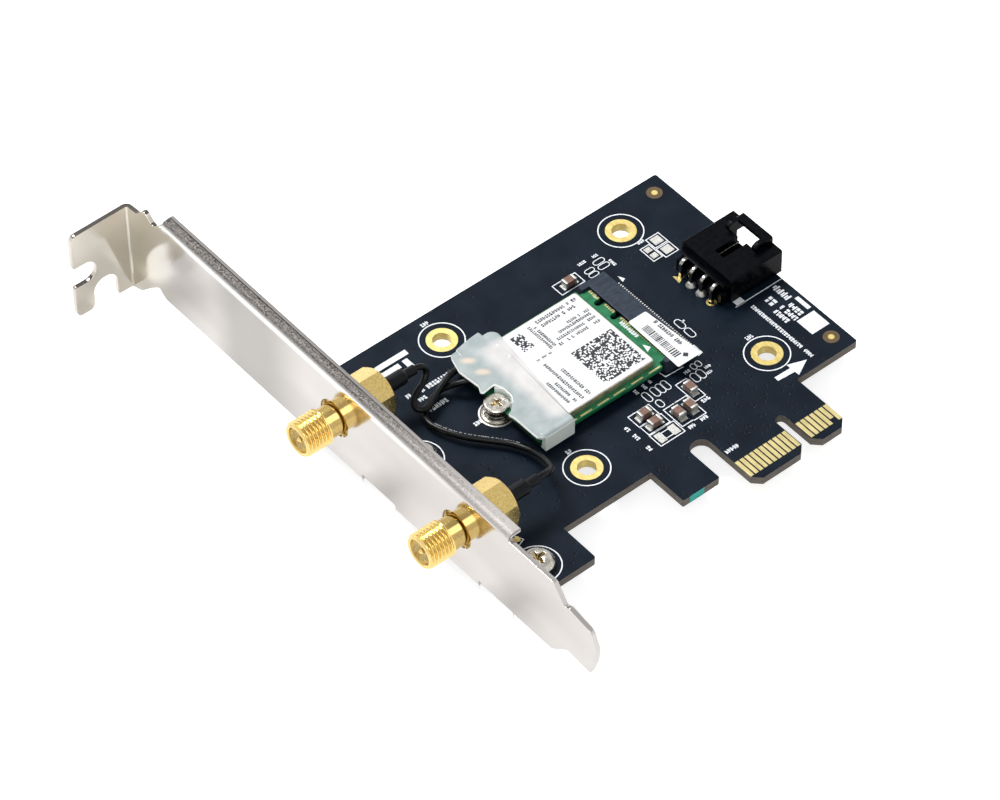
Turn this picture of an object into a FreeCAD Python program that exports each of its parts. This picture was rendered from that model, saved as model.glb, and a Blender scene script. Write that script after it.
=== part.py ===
import FreeCAD, Part
import math
import os

Vector = FreeCAD.Vector

# Wireless expansion card, millimetres. The origin is the middle of the key notch at the end of
# the edge connector, on the board's top face: +X points away from the bracket, +Y towards the
# bracket's screw tab, +Z up from the components' side.

# Circuit board
board_thickness = 1.57
board_right = 21.19
board_top = 62.79
board_gap = 0.55          # between the board's edge and the bracket's rear face
shoulder_y = 12.41        # lower edge of the board's right part
tongue_left = -11.89
tongue_right = 7.92
tongue_chamfer = 1.43
key_width = 1.9
key_depth = 8.41
hook_slot_width = 3.82
hook_slot_top = 13.0
hook_width = 7.75
hook_end = 4.57
recess_width = 18.21      # room for the slot's neighbour beside the hook
recess_top = 12.43
leg_end = 4.5
recess_round = 0.15

# Edge contacts, at the standard pitch on both sides of the key notch
contact_pitch = 1.0
contact_width = 0.72
contact_tip = 1.43
contact_end = 5.33
contact_thickness = 0.05
contacts_left = 11
contacts_right = 7
first_contact = 1.5       # distance of the nearest contacts from the notch's middle
short_contact_step = 1.0  # how much later the presence contact begins

# Mounting holes round the module, plated through
hole_centre_x = -11.27
module_y = 38.12
hole_spacing_x = 38.6
hole_spacing_y = 36.6
hole_radius = 1.6
pad_radius = 2.67
plating = 0.05

# Bracket, one folded sheet
bracket_rear = -57.35
bracket_thickness = 0.86
bend_inner = 0.4
bracket_top = 105.06
bracket_length = 120.02
flange_z = 15.99
flange_depth = 2.6
flange_start = 6.13
flange_end = 94.58
tab_reach = 11.6          # from the bracket's front face to the tab's outer edge
tab_upper = 12.33
tab_lower = -6.59
tab_slot_width = 4.45
tab_slot_z = 2.58
tab_slot_depth = 4.6
tab_notch_width = 4.7
tab_notch_x = -63.65
tab_notch_top = -0.75
ear_half_width = 4.2
ear_reach = 11.85         # from the bracket's rear face to the ear's free end

# Screws that hold the bracket's ears to the board
bracket_screw_x = -49.7
bracket_screws_y = (9.3, 38.5)
bracket_screw_head_radius = 2.8
bracket_screw_head = 1.9
bracket_screw_radius = 1.45
screw_clearance = 0.05

# Antenna jacks
jacks_y = (49.6, 18.85)
jack_z = 6.4
jack_hole_radius = 3.5
jack_thread_radius = 3.175
jack_neck_radius = 2.75
jack_neck_length = 3.55   # from the bracket's rear face to the thread
jack_mouth = 8.45         # from the bracket's rear face to the jack's mouth
jack_bore_radius = 2.3
jack_bore_depth = 2.0
jack_hex_flats = 8.0
jack_hex_length = 8.75
insulator_radius = 2.05
insulator_length = 11.0
contact_pin_radius = 0.47
contact_pin_reach = 1.8

# Heat-shrink sleeves behind the jacks, and the thin coaxial cables
sleeve_radius = 1.375
sleeve_tail_radius = 0.875
sleeve_length = 6.9
sleeve_tail_length = 1.9
cable_diameter = 1.13
cable_sides = 8

# Wireless module and its socket
module_bottom = 1.3
module_thickness = 0.8
module_left = -34.1
module_length = 26.0
module_width = 22.0
module_tongue_length = 4.0
module_tongue_width = 19.85
module_notch_radius = 1.75
module_keys = (6.625, 2.625)   # distance of the key notches from the module's middle
module_key_width = 1.2
module_key_depth = 3.5
shield_left = -29.3
shield_right = -9.1
shield_margin = 1.05      # from the module's long edges
shield_height = 1.35
shield_wall = 0.2
label_margin = 0.2
label_thickness = 0.08

# Radio chip, power chip, memory and crystal under the shield, in shares of its inside: the
# middle from its near end and from its centre line, then the sides and the height
chips = (
    (0.43, 0.05, 0.4, 0.4, 0.74),
    (0.82, -0.25, 0.15, 0.15, 0.65),
    (0.82, 0.13, 0.1, 0.15, 0.61),
    (0.16, -0.32, 0.12, 0.1, 0.52),
)

socket_front = -6.0
socket_rear = -1.8
socket_width = 22.2
socket_height = 2.7
socket_lug_length = 1.5
socket_lug_width = 1.05
socket_slot_depth = 2.3
socket_key_width = 1.0
card_clearance = 0.1
tail_pitch = 0.5
tail_width = 0.22
tail_length = 1.8
tail_thickness = 0.12
tail_count = 38
sticker_thickness = 0.08
sticker_overhang = 2.05   # past the socket's end

# Standoff and module screw
standoff_flange_radius = 2.5
standoff_flange = 0.3
standoff_radius = 2.2
standoff_spigot_radius = 1.4
standoff_bore = 1.05
module_screw_head_radius = 2.21
module_screw_head = 0.65
module_screw_radius = 0.98
module_screw_length = 2.6

# Coaxial receptacles and plugs on the module
plug_inset = 2.5          # from the module's bracket end to the plugs' middles
plug_edge_gaps = (1.42, 5.57)  # from the module's far long edge to the plugs' middles
plug_turns = (0.0, 20.0)  # degrees by which each tail turns towards +Y
plug_radius = 1.15
plug_top = 3.4
plug_bore_radius = 0.8
plug_roof = 0.4
plug_tail_reach = 2.5
plug_tail_radius = 0.55
cable_end_z = 2.8
receptacle_side = 2.2
receptacle_base = 0.15
receptacle_ring_radius = 0.75
receptacle_ring_wall = 0.15
receptacle_ring_height = 0.6

# Clip that keeps the plugs on the module
clip_thickness = 0.5
clip_round = 0.6
clip_skirt_thickness = 1.0
clip_skirt_flare = 0.9    # how much thicker the far skirt is at its shield end
clip_skirt_rise = 0.27    # how far the skirts stand above the clip's top
clip_lip = 0.4            # how far the hooks reach under the module
clip_lip_height = 0.5
clip_overhang = 0.7       # past the module's bracket end
clip_ledge = 0.88         # past the module's far long edge
clip_hold_near = 1.7      # how far the clip reaches over the shield at its near end
clip_hold_far = 4.55      # and at its far end
clip_screw_room = 2.1     # from the screw's middle to the clip's edge behind it
clip_mark_gaps = (2.2, 5.3)

# Right-angle header
header_y = 38.15
header_back = 10.9
header_length = 11.2
header_width = 12.3
header_height = 5.1
header_wall = 1.2
header_floor = 1.5
header_floor_end = 1.9    # how far the floor ends before the mouth
header_roof = 0.8
header_rear_wall = 1.5
latch_slot_width = 2.2
latch_window_width = 5.5
latch_collar_height = 1.4
latch_leg_width = 1.0
pin_pitch = 2.54
pin_count = 4
pin_width = 0.64
pin_z = 3.4
pin_down_x = 8.7
pin_below = 2.6           # from the board's top face to the pin's tip
pin_tip_depth = 3.1       # from the mouth to the pins' tips
pin_bend = 0.6
pin_clearance = 0.02
pin_hole_radius = 0.55
solder_foot_radius = 0.95
solder_tip_radius = 0.47
solder_rise = 0.85
fin_length = 1.7
fin_width = 0.9
fin_height = 2.5

# Chip capacitors: middle point and whether the length runs along Y
capacitor_length = 2.3
capacitor_width = 1.4
capacitor_height = 1.25
capacitor_end = 0.45
capacitors = (
    (-6.87, 21.8, True),
    (-9.45, 18.85, True),
    (-11.9, 18.9, True),
    (-16.3, 22.3, False),
    (-16.2, 19.85, False),
    (-6.5, 52.6, False),
)
solder_thickness = 0.05
solder_reach = 0.42       # how far the pads show past the capacitors' ends

# Pads that carry no component: x, y of the middle, and the sides along X and Y
bare_pads = (
    (-17.4, 17.05, 1.3, 2.1),
    (-14.5, 17.05, 1.3, 2.1),
    (11.15, 48.2, 1.8, 1.7),
    (11.15, 50.9, 1.8, 1.7),
    (8.55, 48.5, 1.2, 1.1),
    (8.55, 50.1, 1.2, 1.1),
)

# Routes of the two cables, from the sleeve to the plug's tail
cable_a_route = [
    (-41.7, 49.6, 6.4),
    (-40.2, 49.6, 6.4),
    (-39.5, 49.1, 4.8),
    (-40.9, 48.4, 3.6),
    (-42.8, 47.8, 3.2),
    (-44.2, 47.1, 2.6),
    (-44.7, 45.6, 2.1),
    (-43.3, 44.7, 1.95),
    (-41.4, 45.5, 2.05),
    (-39.4, 46.5, 2.3),
    (-37.4, 47.2, 2.6),
    (-35.6, 47.7, 2.8),
    (-34.1, 47.7, 2.8),
]
cable_b_route = [
    (-41.7, 18.85, 6.4),
    (-39.9, 18.85, 6.4),
    (-38.1, 19.6, 5.3),
    (-36.9, 21.9, 3.9),
    (-36.1, 24.9, 2.5),
    (-36.0, 28.0, 1.5),
    (-37.2, 31.0, 1.1),
    (-39.6, 33.9, 1.1),
    (-42.2, 36.9, 1.2),
    (-43.9, 40.4, 1.1),
    (-44.5, 43.4, 0.95),
    (-43.1, 45.6, 0.8),
    (-40.7, 46.8, 0.8),
    (-38.5, 47.4, 0.95),
    (-37.0, 46.5, 1.75),
    (-35.45, 44.95, 2.8),
    (-33.95, 44.405, 2.8),
]

# Values that follow from the sizes above
board_bottom = -board_thickness
board_left = bracket_rear + board_gap
bracket_front = bracket_rear - bracket_thickness
bend_outer = bend_inner + bracket_thickness
ear_bottom = board_bottom - bracket_thickness
plate_upper = flange_z - bend_outer
hook_right = tongue_left - hook_slot_width
hook_left = hook_right - hook_width
recess_left = hook_left - recess_width
module_top = module_bottom + module_thickness
module_right = module_left + module_length
shield_top = module_top + shield_height
label_top = shield_top + label_thickness
module_near = module_y - module_width / 2
module_far = module_y + module_width / 2
plug_x = module_left + plug_inset
plugs_y = [module_far - gap for gap in plug_edge_gaps]
clip_top = label_top + clip_thickness
sleeve_end = bracket_rear + jack_hex_length + sleeve_length
header_front = header_back + header_length
pins_y = [header_y + (i - (pin_count - 1) / 2) * pin_pitch for i in range(pin_count)]


def outline(corners, place):
    """Closed wire through the corners; a corner's third number is the radius that rounds it."""
    points = [place(corner[0], corner[1]) for corner in corners]
    count = len(points)
    starts = []
    ends = []
    arcs = []
    for i, corner in enumerate(corners):
        starts.append(points[i])
        ends.append(points[i])
        arcs.append(None)
        if len(corner) < 3 or corner[2] == 0:
            continue
        back = (points[i - 1] - points[i]).normalize()
        ahead = (points[(i + 1) % count] - points[i]).normalize()
        half = back.getAngle(ahead) / 2
        reach = corner[2] / math.tan(half)
        depth = corner[2] / math.sin(half) - corner[2]
        starts[i] = points[i] + back * reach
        ends[i] = points[i] + ahead * reach
        middle = points[i] + (back + ahead).normalize() * depth
        arcs[i] = Part.Arc(starts[i], middle, ends[i]).toShape()
    edges = []
    for i in range(count):
        if arcs[i]:
            edges.append(arcs[i])
        following = starts[(i + 1) % count]
        if (following - ends[i]).Length > 1e-6:
            edges.append(Part.LineSegment(ends[i], following).toShape())
    return Part.Wire(edges)


def pad(axis, corners, start, end):
    """Solid of an outline drawn across one axis, from start to end along that axis.

    Corners are (y, z) across X, (x, z) across Y and (x, y) across Z.
    """
    places = {
        "x": lambda u, v: Vector(start, u, v),
        "y": lambda u, v: Vector(u, start, v),
        "z": lambda u, v: Vector(u, v, start),
    }
    directions = {"x": Vector(1, 0, 0), "y": Vector(0, 1, 0), "z": Vector(0, 0, 1)}
    return Part.Face(outline(corners, places[axis])).extrude(directions[axis] * (end - start))


def turned(axis, at, profile):
    """Solid of revolution; the profile's corners are (distance along the axis, radius)."""
    if axis == "x":
        base = Vector(0, at[0], at[1])
        direction = Vector(1, 0, 0)
        place = lambda along, radius: Vector(along, at[0] + radius, at[1])
    else:
        base = Vector(at[0], at[1], 0)
        direction = Vector(0, 0, 1)
        place = lambda along, radius: Vector(at[0] + radius, at[1], along)
    return Part.Face(outline(profile, place)).revolve(base, direction, 360)


def block(x0, x1, y0, y1, z0, z1):
    return Part.makeBox(x1 - x0, y1 - y0, z1 - z0, Vector(x0, y0, z0))


def drill(x, y, radius, low, high):
    return Part.makeCylinder(radius, high - low, Vector(x, y, low))


def cross_recess(x, y, top, span, width, depth):
    """Tapered cross that a screwdriver enters, to be cut from a screw's head."""
    arm_x = block(x - span / 2, x + span / 2, y - width / 2, y + width / 2, top - depth, top)
    arm_y = block(x - width / 2, x + width / 2, y - span / 2, y + span / 2, top - depth, top)
    taper = Part.makeCone(width * 0.6, span / 2, depth, Vector(x, y, top - depth))
    return arm_x.fuse(arm_y).common(taper)


def one_solid(shape):
    """The single solid of a boolean result, with its split faces joined again."""
    return shape.removeSplitter().Solids[0]


def save(name, shape):
    print(f"{name}: {len(shape.Solids)} solids, {shape.Volume:.2f} mm3")
    shape.exportStep(f"parts/{name}.step")


def hole_places():
    """Middles of the four mounting holes, row by row."""
    places = []
    for side_y in (-1, 1):
        for side_x in (-1, 1):
            x = hole_centre_x + side_x * hole_spacing_x / 2
            y = module_y + side_y * hole_spacing_y / 2
            places.append((x, y))
    return places


# The board's outline runs from the bracket's side along the lower edge: leg, recess, hook,
# slot, edge tongue with its key notch, then the plain right part.
def circuit_board():
    half_key = key_width / 2
    corners = [
        (board_left, leg_end, 0.5),
        (recess_left, leg_end, 0.5),
        (recess_left, recess_top, recess_round),
        (hook_left, recess_top, recess_round),
        (hook_left, hook_end, 0.3),
        (hook_right, hook_end, 0.3),
        (hook_right, hook_slot_top, hook_slot_width * 0.48),
        (tongue_left, hook_slot_top, hook_slot_width * 0.48),
        (tongue_left, tongue_chamfer),
        (tongue_left + tongue_chamfer, 0),
        (-half_key - tongue_chamfer, 0),
        (-half_key, tongue_chamfer),
        (-half_key, key_depth, key_width * 0.48),
        (half_key, key_depth, key_width * 0.48),
        (half_key, tongue_chamfer),
        (half_key + tongue_chamfer, 0),
        (tongue_right - tongue_chamfer, 0),
        (tongue_right, tongue_chamfer),
        (tongue_right, shoulder_y, 0.4),
        (board_right, shoulder_y, 0.4),
        (board_right, board_top, 0.4),
        (board_left, board_top, 0.4),
    ]
    board = pad("z", corners, board_bottom, 0)
    holes = [drill(x, y, hole_radius + plating, board_bottom, 0) for x, y in hole_places()]
    for y in bracket_screws_y:
        holes.append(drill(bracket_screw_x, y, hole_radius, board_bottom, 0))
    for y in pins_y:
        holes.append(drill(pin_down_x, y, pin_hole_radius, board_bottom, 0))
    holes.append(drill(module_left, module_y, standoff_spigot_radius, board_bottom, 0))
    return one_solid(board.cut(holes))


# Each contact is a thin gold strip on the board's face. The last but one on the right of the
# top face, and the last on the left of the underside, start later than the rest.
def edge_contacts():
    left = [-first_contact - i * contact_pitch for i in range(contacts_left)]
    right = [first_contact + i * contact_pitch for i in range(contacts_right)]
    strips = []
    for x in left + right:
        x0 = x - contact_width / 2
        x1 = x + contact_width / 2
        top_tip = contact_tip + (short_contact_step if x == right[-2] else 0)
        low_tip = contact_tip + (short_contact_step if x == left[-1] else 0)
        strips.append(block(x0, x1, top_tip, contact_end, 0, contact_thickness))
        low = board_bottom - contact_thickness
        strips.append(block(x0, x1, low_tip, contact_end, low, board_bottom))
    return Part.makeCompound(strips)


def plated_holes():
    eyelets = []
    for place in hole_places():
        profile = [
            (plating, hole_radius),
            (plating, pad_radius),
            (0, pad_radius),
            (0, hole_radius + plating),
            (board_bottom, hole_radius + plating),
            (board_bottom, pad_radius),
            (board_bottom - plating, pad_radius),
            (board_bottom - plating, hole_radius),
        ]
        eyelets.append(turned("z", place, profile))
    return Part.makeCompound(eyelets)


# The plate is drawn in Y and Z. Its upper end narrows to the screw tab, and its lower end to
# the tongue that goes behind the computer's case.
def bracket_plate():
    tip = bracket_top - bracket_length
    tab_bend = bracket_top - bend_outer
    corners = [
        (-4.3, -1.55, 0.6),
        (5.0, -1.55),
        (5.3, ear_bottom),
        (bracket_top - 10.2, ear_bottom, 0.4),
        (bracket_top - 8.45, -1.0, 0.7),
        (bracket_top - 6.3, -2.85, 1.0),
        (bracket_top - 3.4, -5.7, 1.2),
        (tab_bend, tab_lower),
        (tab_bend, tab_upper),
        (bracket_top - 3.5, 12.6, 1.2),
        (bracket_top - 5.7, 15.0, 0.9),
        (bracket_top - 7.9, 13.0, 0.7),
        (bracket_top - 9.9, plate_upper, 0.5),
        (-4.7, plate_upper, 0.5),
        (-7.4, 11.2, 0.45),
        (-8.3, 11.8, 0.4),
        (tip + 1.4, 10.9, 1.2),
        (tip, 7.6, 2.2),
        (tip + 0.3, 4.6, 2.2),
        (tip + 1.5, 1.0, 0.5),
        (-7.9, 1.5, 0.8),
    ]
    return pad("x", corners, bracket_front, bracket_rear)


# Both the flange and the ears stand towards the board; the bend keeps its true radii.
def bracket_flange():
    edge = bracket_front + flange_depth
    profile = [
        (bracket_front, plate_upper),
        (bracket_front, flange_z, bend_outer),
        (edge, flange_z, 0.2),
        (edge, flange_z - bracket_thickness, 0.2),
        (bracket_rear, flange_z - bracket_thickness, bend_inner),
        (bracket_rear, plate_upper),
    ]
    return pad("y", profile, flange_start, flange_end)


def bracket_ear(y):
    free_end = bracket_rear + ear_reach
    bend_line = ear_bottom + bend_outer
    profile = [
        (bracket_front, bend_line),
        (bracket_front, ear_bottom, bend_outer),
        (free_end, ear_bottom),
        (free_end, board_bottom),
        (bracket_rear, board_bottom, bend_inner),
        (bracket_rear, bend_line),
    ]
    low = y - ear_half_width
    high = y + ear_half_width
    shape = [
        (bracket_front, low),
        (free_end, low, ear_half_width * 0.7),
        (free_end, high, ear_half_width * 0.7),
        (bracket_front, high),
    ]
    ear = pad("y", profile, low, high).common(pad("z", shape, ear_bottom, bend_line))
    hole = drill(bracket_screw_x, y, bracket_screw_radius + screw_clearance, ear_bottom, 0)
    return ear.cut(hole)


def bracket_tab():
    outer = bracket_front - tab_reach
    under = bracket_top - bracket_thickness
    bend_line = bracket_top - bend_outer
    profile = [
        (bracket_rear, bend_line),
        (bracket_rear, bracket_top, bend_outer),
        (outer, bracket_top),
        (outer, under),
        (bracket_front, under, bend_inner),
        (bracket_front, bend_line),
    ]
    slot_half = tab_slot_width / 2
    slot_inner = outer + tab_slot_depth
    notch_left = tab_notch_x - tab_notch_width / 2
    notch_right = tab_notch_x + tab_notch_width / 2
    shape = [
        (bracket_rear, tab_lower),
        (bracket_rear, tab_upper),
        (outer, tab_upper - 0.2, 1.3),
        (outer, tab_slot_z + slot_half, 0.5),
        (slot_inner, tab_slot_z + slot_half, slot_half * 0.96),
        (slot_inner, tab_slot_z - slot_half, slot_half * 0.96),
        (outer, tab_slot_z - slot_half, 0.5),
        (outer, tab_lower + 0.1, 1.3),
        (notch_left, tab_lower + 0.1, 1.3),
        (notch_left, tab_notch_top, tab_notch_width * 0.48),
        (notch_right, tab_notch_top, tab_notch_width * 0.48),
        (notch_right, tab_lower + 0.1, 0.5),
    ]
    return pad("y", shape, bend_line, bracket_top).common(
        pad("z", profile, tab_lower, tab_upper))


def bracket():
    ears = [bracket_ear(y) for y in bracket_screws_y]
    reliefs = []
    for y in bracket_screws_y:
        reliefs.append(block(bracket_front, bracket_rear, y - ear_half_width,
                             y + ear_half_width, ear_bottom, ear_bottom + bend_outer))
    holes = []
    for y in jacks_y:
        holes.append(Part.makeCylinder(jack_hole_radius, bracket_thickness,
                                       Vector(bracket_front, y, jack_z), Vector(1, 0, 0)))
    plate = bracket_plate().cut(reliefs + holes)
    return one_solid(plate.fuse(ears + [bracket_flange(), bracket_tab()]))


def bracket_screw(y):
    shank_end = ear_bottom - 0.9
    profile = [
        (shank_end, 0),
        (shank_end, bracket_screw_radius),
        (0, bracket_screw_radius),
        (0, bracket_screw_head_radius),
        (bracket_screw_head * 0.45, bracket_screw_head_radius),
        (bracket_screw_head * 0.85, bracket_screw_head_radius * 0.8),
        (bracket_screw_head, bracket_screw_head_radius * 0.5),
        (bracket_screw_head, 0),
    ]
    screw = turned("z", (bracket_screw_x, y), profile)
    recess = cross_recess(bracket_screw_x, y, bracket_screw_head, 3.1, 0.7, 1.3)
    return one_solid(screw.cut(recess))


# The jack bears on the bracket's rear face with its hexagon and stands out through the hole.
def antenna_jack(y):
    mouth = bracket_rear - jack_mouth
    thread_end = bracket_rear - jack_neck_length
    tail = bracket_rear + jack_hex_length
    insulator_end = mouth + jack_bore_depth + insulator_length
    barrel = turned("x", (y, jack_z), [
        (mouth, jack_bore_radius),
        (mouth, jack_thread_radius - 0.2),
        (mouth + 0.2, jack_thread_radius),
        (thread_end - 0.2, jack_thread_radius),
        (thread_end, jack_neck_radius),
        (bracket_rear, jack_neck_radius),
        (bracket_rear, insulator_radius),
        (mouth + jack_bore_depth, insulator_radius),
        (mouth + jack_bore_depth, jack_bore_radius),
    ])
    corner_radius = jack_hex_flats / 2 / math.cos(math.pi / 6)
    hexagon = []
    for i in range(6):
        angle = math.pi / 2 + i * math.pi / 3
        hexagon.append((y + corner_radius * math.cos(angle), jack_z + corner_radius * math.sin(angle)))
    chamfer = corner_radius - jack_hex_flats / 2 + 0.1
    rounds = turned("x", (y, jack_z), [
        (bracket_rear, 0),
        (bracket_rear, corner_radius - chamfer),
        (bracket_rear + chamfer * 0.6, corner_radius),
        (tail - chamfer * 0.6, corner_radius),
        (tail, corner_radius - chamfer),
        (tail, 0),
    ])
    body = pad("x", hexagon, bracket_rear, tail).common(rounds)
    bore = Part.makeCylinder(insulator_radius, insulator_end - bracket_rear,
                             Vector(bracket_rear, y, jack_z), Vector(1, 0, 0))
    return one_solid(body.cut(bore).fuse(barrel))


def jack_insulator(y):
    front = bracket_rear - jack_mouth + jack_bore_depth
    return turned("x", (y, jack_z), [
        (front, contact_pin_radius),
        (front, insulator_radius),
        (front + insulator_length, insulator_radius),
        (front + insulator_length, contact_pin_radius),
    ])


def jack_contact(y):
    front = bracket_rear - jack_mouth + jack_bore_depth - contact_pin_reach
    length = contact_pin_reach + insulator_length
    return turned("x", (y, jack_z), [
        (front, 0),
        (front, contact_pin_radius * 0.5),
        (front + contact_pin_radius * 0.6, contact_pin_radius),
        (front + length, contact_pin_radius),
        (front + length, 0),
    ])


def sleeve(y):
    start = bracket_rear + jack_hex_length
    neck = sleeve_end - sleeve_tail_length
    return turned("x", (y, jack_z), [
        (start, 0),
        (start, sleeve_radius),
        (neck - 0.6, sleeve_radius),
        (neck, sleeve_tail_radius),
        (sleeve_end, sleeve_tail_radius),
        (sleeve_end, 0),
    ])


def cable(name, route):
    """Cable along straight runs that tangent arcs join; prints the arcs' radii."""
    points = [Vector(*point) for point in route]
    here = points[0]
    edges = []
    radii = []
    for before, corner, after in zip(points, points[1:], points[2:]):
        back = before - corner
        ahead = after - corner
        reach = 0.45 * min(back.Length, ahead.Length)
        back.normalize()
        ahead.normalize()
        half = back.getAngle(ahead) / 2
        radius = reach * math.tan(half)
        middle = corner + (back + ahead).normalize() * (radius / math.sin(half) - radius)
        start = corner + back * reach
        end = corner + ahead * reach
        edges.append(Part.LineSegment(here, start).toShape())
        edges.append(Part.Arc(start, middle, end).toShape())
        radii.append(radius)
        here = end
    edges.append(Part.LineSegment(here, points[-1]).toShape())
    path = Part.Wire(edges)
    circle = Part.makeCircle(cable_diameter / 2, points[0], points[1] - points[0])
    section = Part.Face(Part.makePolygon(circle.discretize(cable_sides + 1)))
    tube = path.makePipe(section)
    expected = section.Area * path.Length
    print(f"{name}: length {path.Length:.2f}, volume against section times length "
          f"{tube.Volume / expected:.4f}, radii {[round(radius, 2) for radius in radii]}")
    return tube


def module_board():
    half = module_width / 2
    tongue_half = module_tongue_width / 2
    end = module_right + module_tongue_length
    corners = [
        (module_left, module_y - half, 0.5),
        (module_right, module_y - half, 0.3),
        (module_right, module_y - tongue_half, 0.3),
        (end, module_y - tongue_half, 0.4),
        (end, module_y + tongue_half, 0.4),
        (module_right, module_y + tongue_half, 0.3),
        (module_right, module_y + half, 0.3),
        (module_left, module_y + half, 0.5),
    ]
    board = pad("z", corners, module_bottom, module_top)
    cuts = [drill(module_left, module_y, module_notch_radius, module_bottom, module_top)]
    for offset in module_keys:
        y = module_y + offset
        notch = end - module_key_depth
        low = y - module_key_width / 2
        high = y + module_key_width / 2
        inner = [
            (notch, low, module_key_width * 0.48),
            (end, low),
            (end, high),
            (notch, high, module_key_width * 0.48),
        ]
        cuts.append(pad("z", inner, module_bottom, module_top))
    return one_solid(board.cut(cuts))


def shield_corners(inset, radius):
    low = module_y - module_width / 2 + shield_margin + inset
    high = module_y + module_width / 2 - shield_margin - inset
    left = shield_left + inset
    right = shield_right - inset
    return [(left, low, radius), (right, low, radius), (right, high, radius), (left, high, radius)]


def module_shield():
    can = pad("z", shield_corners(0, 0.6), module_top, shield_top)
    inside = pad("z", shield_corners(shield_wall, 0.4), module_top, shield_top - shield_wall)
    return one_solid(can.cut(inside))


def module_label():
    return pad("z", shield_corners(label_margin, 0.5), shield_top, label_top)


def radio_chips():
    length = shield_right - shield_left
    width = module_width - 2 * shield_margin
    room = shield_height - shield_wall
    solids = []
    for across, along, share_x, share_y, share_z in chips:
        x = shield_left + across * length
        y = module_y + along * width
        side_x = share_x * length
        side_y = share_y * width
        solids.append(block(x - side_x / 2, x + side_x / 2, y - side_y / 2, y + side_y / 2,
                            module_top, module_top + share_z * room))
    return Part.makeCompound(solids)


def socket_housing():
    half = socket_width / 2
    section = [
        (socket_front, 0),
        (socket_rear, 0),
        (socket_rear, socket_height, 0.25),
        (socket_front, socket_height, 0.15),
    ]
    body = pad("y", section, module_y - half, module_y + half)
    lug_front = socket_front - socket_lug_length
    for side in (-1, 1):
        inner = module_y + side * (half - socket_lug_width)
        outer = module_y + side * half
        lug = [
            (socket_front + 0.5, inner),
            (lug_front, inner, 0.2),
            (lug_front, outer, 0.3),
            (socket_front + 0.5, outer),
        ]
        body = body.fuse(pad("z", lug, 0, socket_height))
    slot_end = socket_front + socket_slot_depth
    slot_half = module_tongue_width / 2 + card_clearance
    mouth = [
        (socket_front - 1, module_bottom),
        (slot_end, module_bottom),
        (slot_end, module_top + card_clearance),
        (socket_front + 0.35, module_top + card_clearance),
        (socket_front, module_top + card_clearance + 0.2),
        (socket_front - 1, module_top + card_clearance + 0.2),
    ]
    body = body.cut(pad("y", mouth, module_y - slot_half, module_y + slot_half))
    for offset in module_keys:
        y = module_y + offset
        body = body.fuse(block(socket_front + 0.2, slot_end, y - socket_key_width / 2,
                               y + socket_key_width / 2, module_bottom, module_top + card_clearance))
    return one_solid(body)


def socket_tails():
    tails = []
    for i in range(tail_count):
        y = module_y + (i - (tail_count - 1) / 2) * tail_pitch
        foot = [
            (socket_rear, 0),
            (socket_rear + tail_length, 0),
            (socket_rear + tail_length, tail_thickness),
            (socket_rear + 0.5, tail_thickness),
            (socket_rear, tail_thickness + 0.45),
        ]
        tails.append(pad("y", foot, y - tail_width / 2, y + tail_width / 2))
    return Part.makeCompound(tails)


# The sticker widens towards its free end, which stands over the end of the socket.
def socket_label():
    near = module_y - 0.3
    free = module_y - socket_width / 2 - sticker_overhang
    corners = [
        (socket_front - 0.39, near, 0.3),
        (socket_front - 0.7, free, 0.3),
        (socket_rear + 0.11, free, 0.3),
        (socket_rear - 0.85, near, 0.3),
    ]
    return pad("z", corners, socket_height, socket_height + sticker_thickness)


def standoff():
    return turned("z", (module_left, module_y), [
        (board_bottom, standoff_bore),
        (board_bottom, standoff_spigot_radius),
        (0, standoff_spigot_radius),
        (0, standoff_flange_radius),
        (standoff_flange, standoff_flange_radius),
        (standoff_flange, standoff_radius),
        (module_bottom, standoff_radius),
        (module_bottom, standoff_bore),
    ])


def module_screw():
    tip = module_top - module_screw_length
    top = module_top + module_screw_head
    profile = [
        (tip, 0),
        (tip, module_screw_radius),
        (module_top, module_screw_radius),
        (module_top, module_screw_head_radius),
        (top - 0.2, module_screw_head_radius),
        (top, module_screw_head_radius - 0.25),
        (top, 0),
    ]
    screw = turned("z", (module_left, module_y), profile)
    recess = cross_recess(module_left, module_y, top, 2.3, 0.55, 0.9)
    return one_solid(screw.cut(recess))


def coax_receptacles():
    seats = []
    for y in plugs_y:
        half = receptacle_side / 2
        top = module_top + receptacle_base
        base = block(plug_x - half, plug_x + half, y - half, y + half, module_top, top)
        ring = turned("z", (plug_x, y), [
            (top, receptacle_ring_radius - receptacle_ring_wall),
            (top, receptacle_ring_radius),
            (top + receptacle_ring_height, receptacle_ring_radius),
            (top + receptacle_ring_height, receptacle_ring_radius - receptacle_ring_wall),
        ])
        pin = drill(plug_x, y, 0.15, top, top + receptacle_ring_height)
        seats.append(one_solid(base.fuse([ring, pin])))
    return Part.makeCompound(seats)


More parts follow.
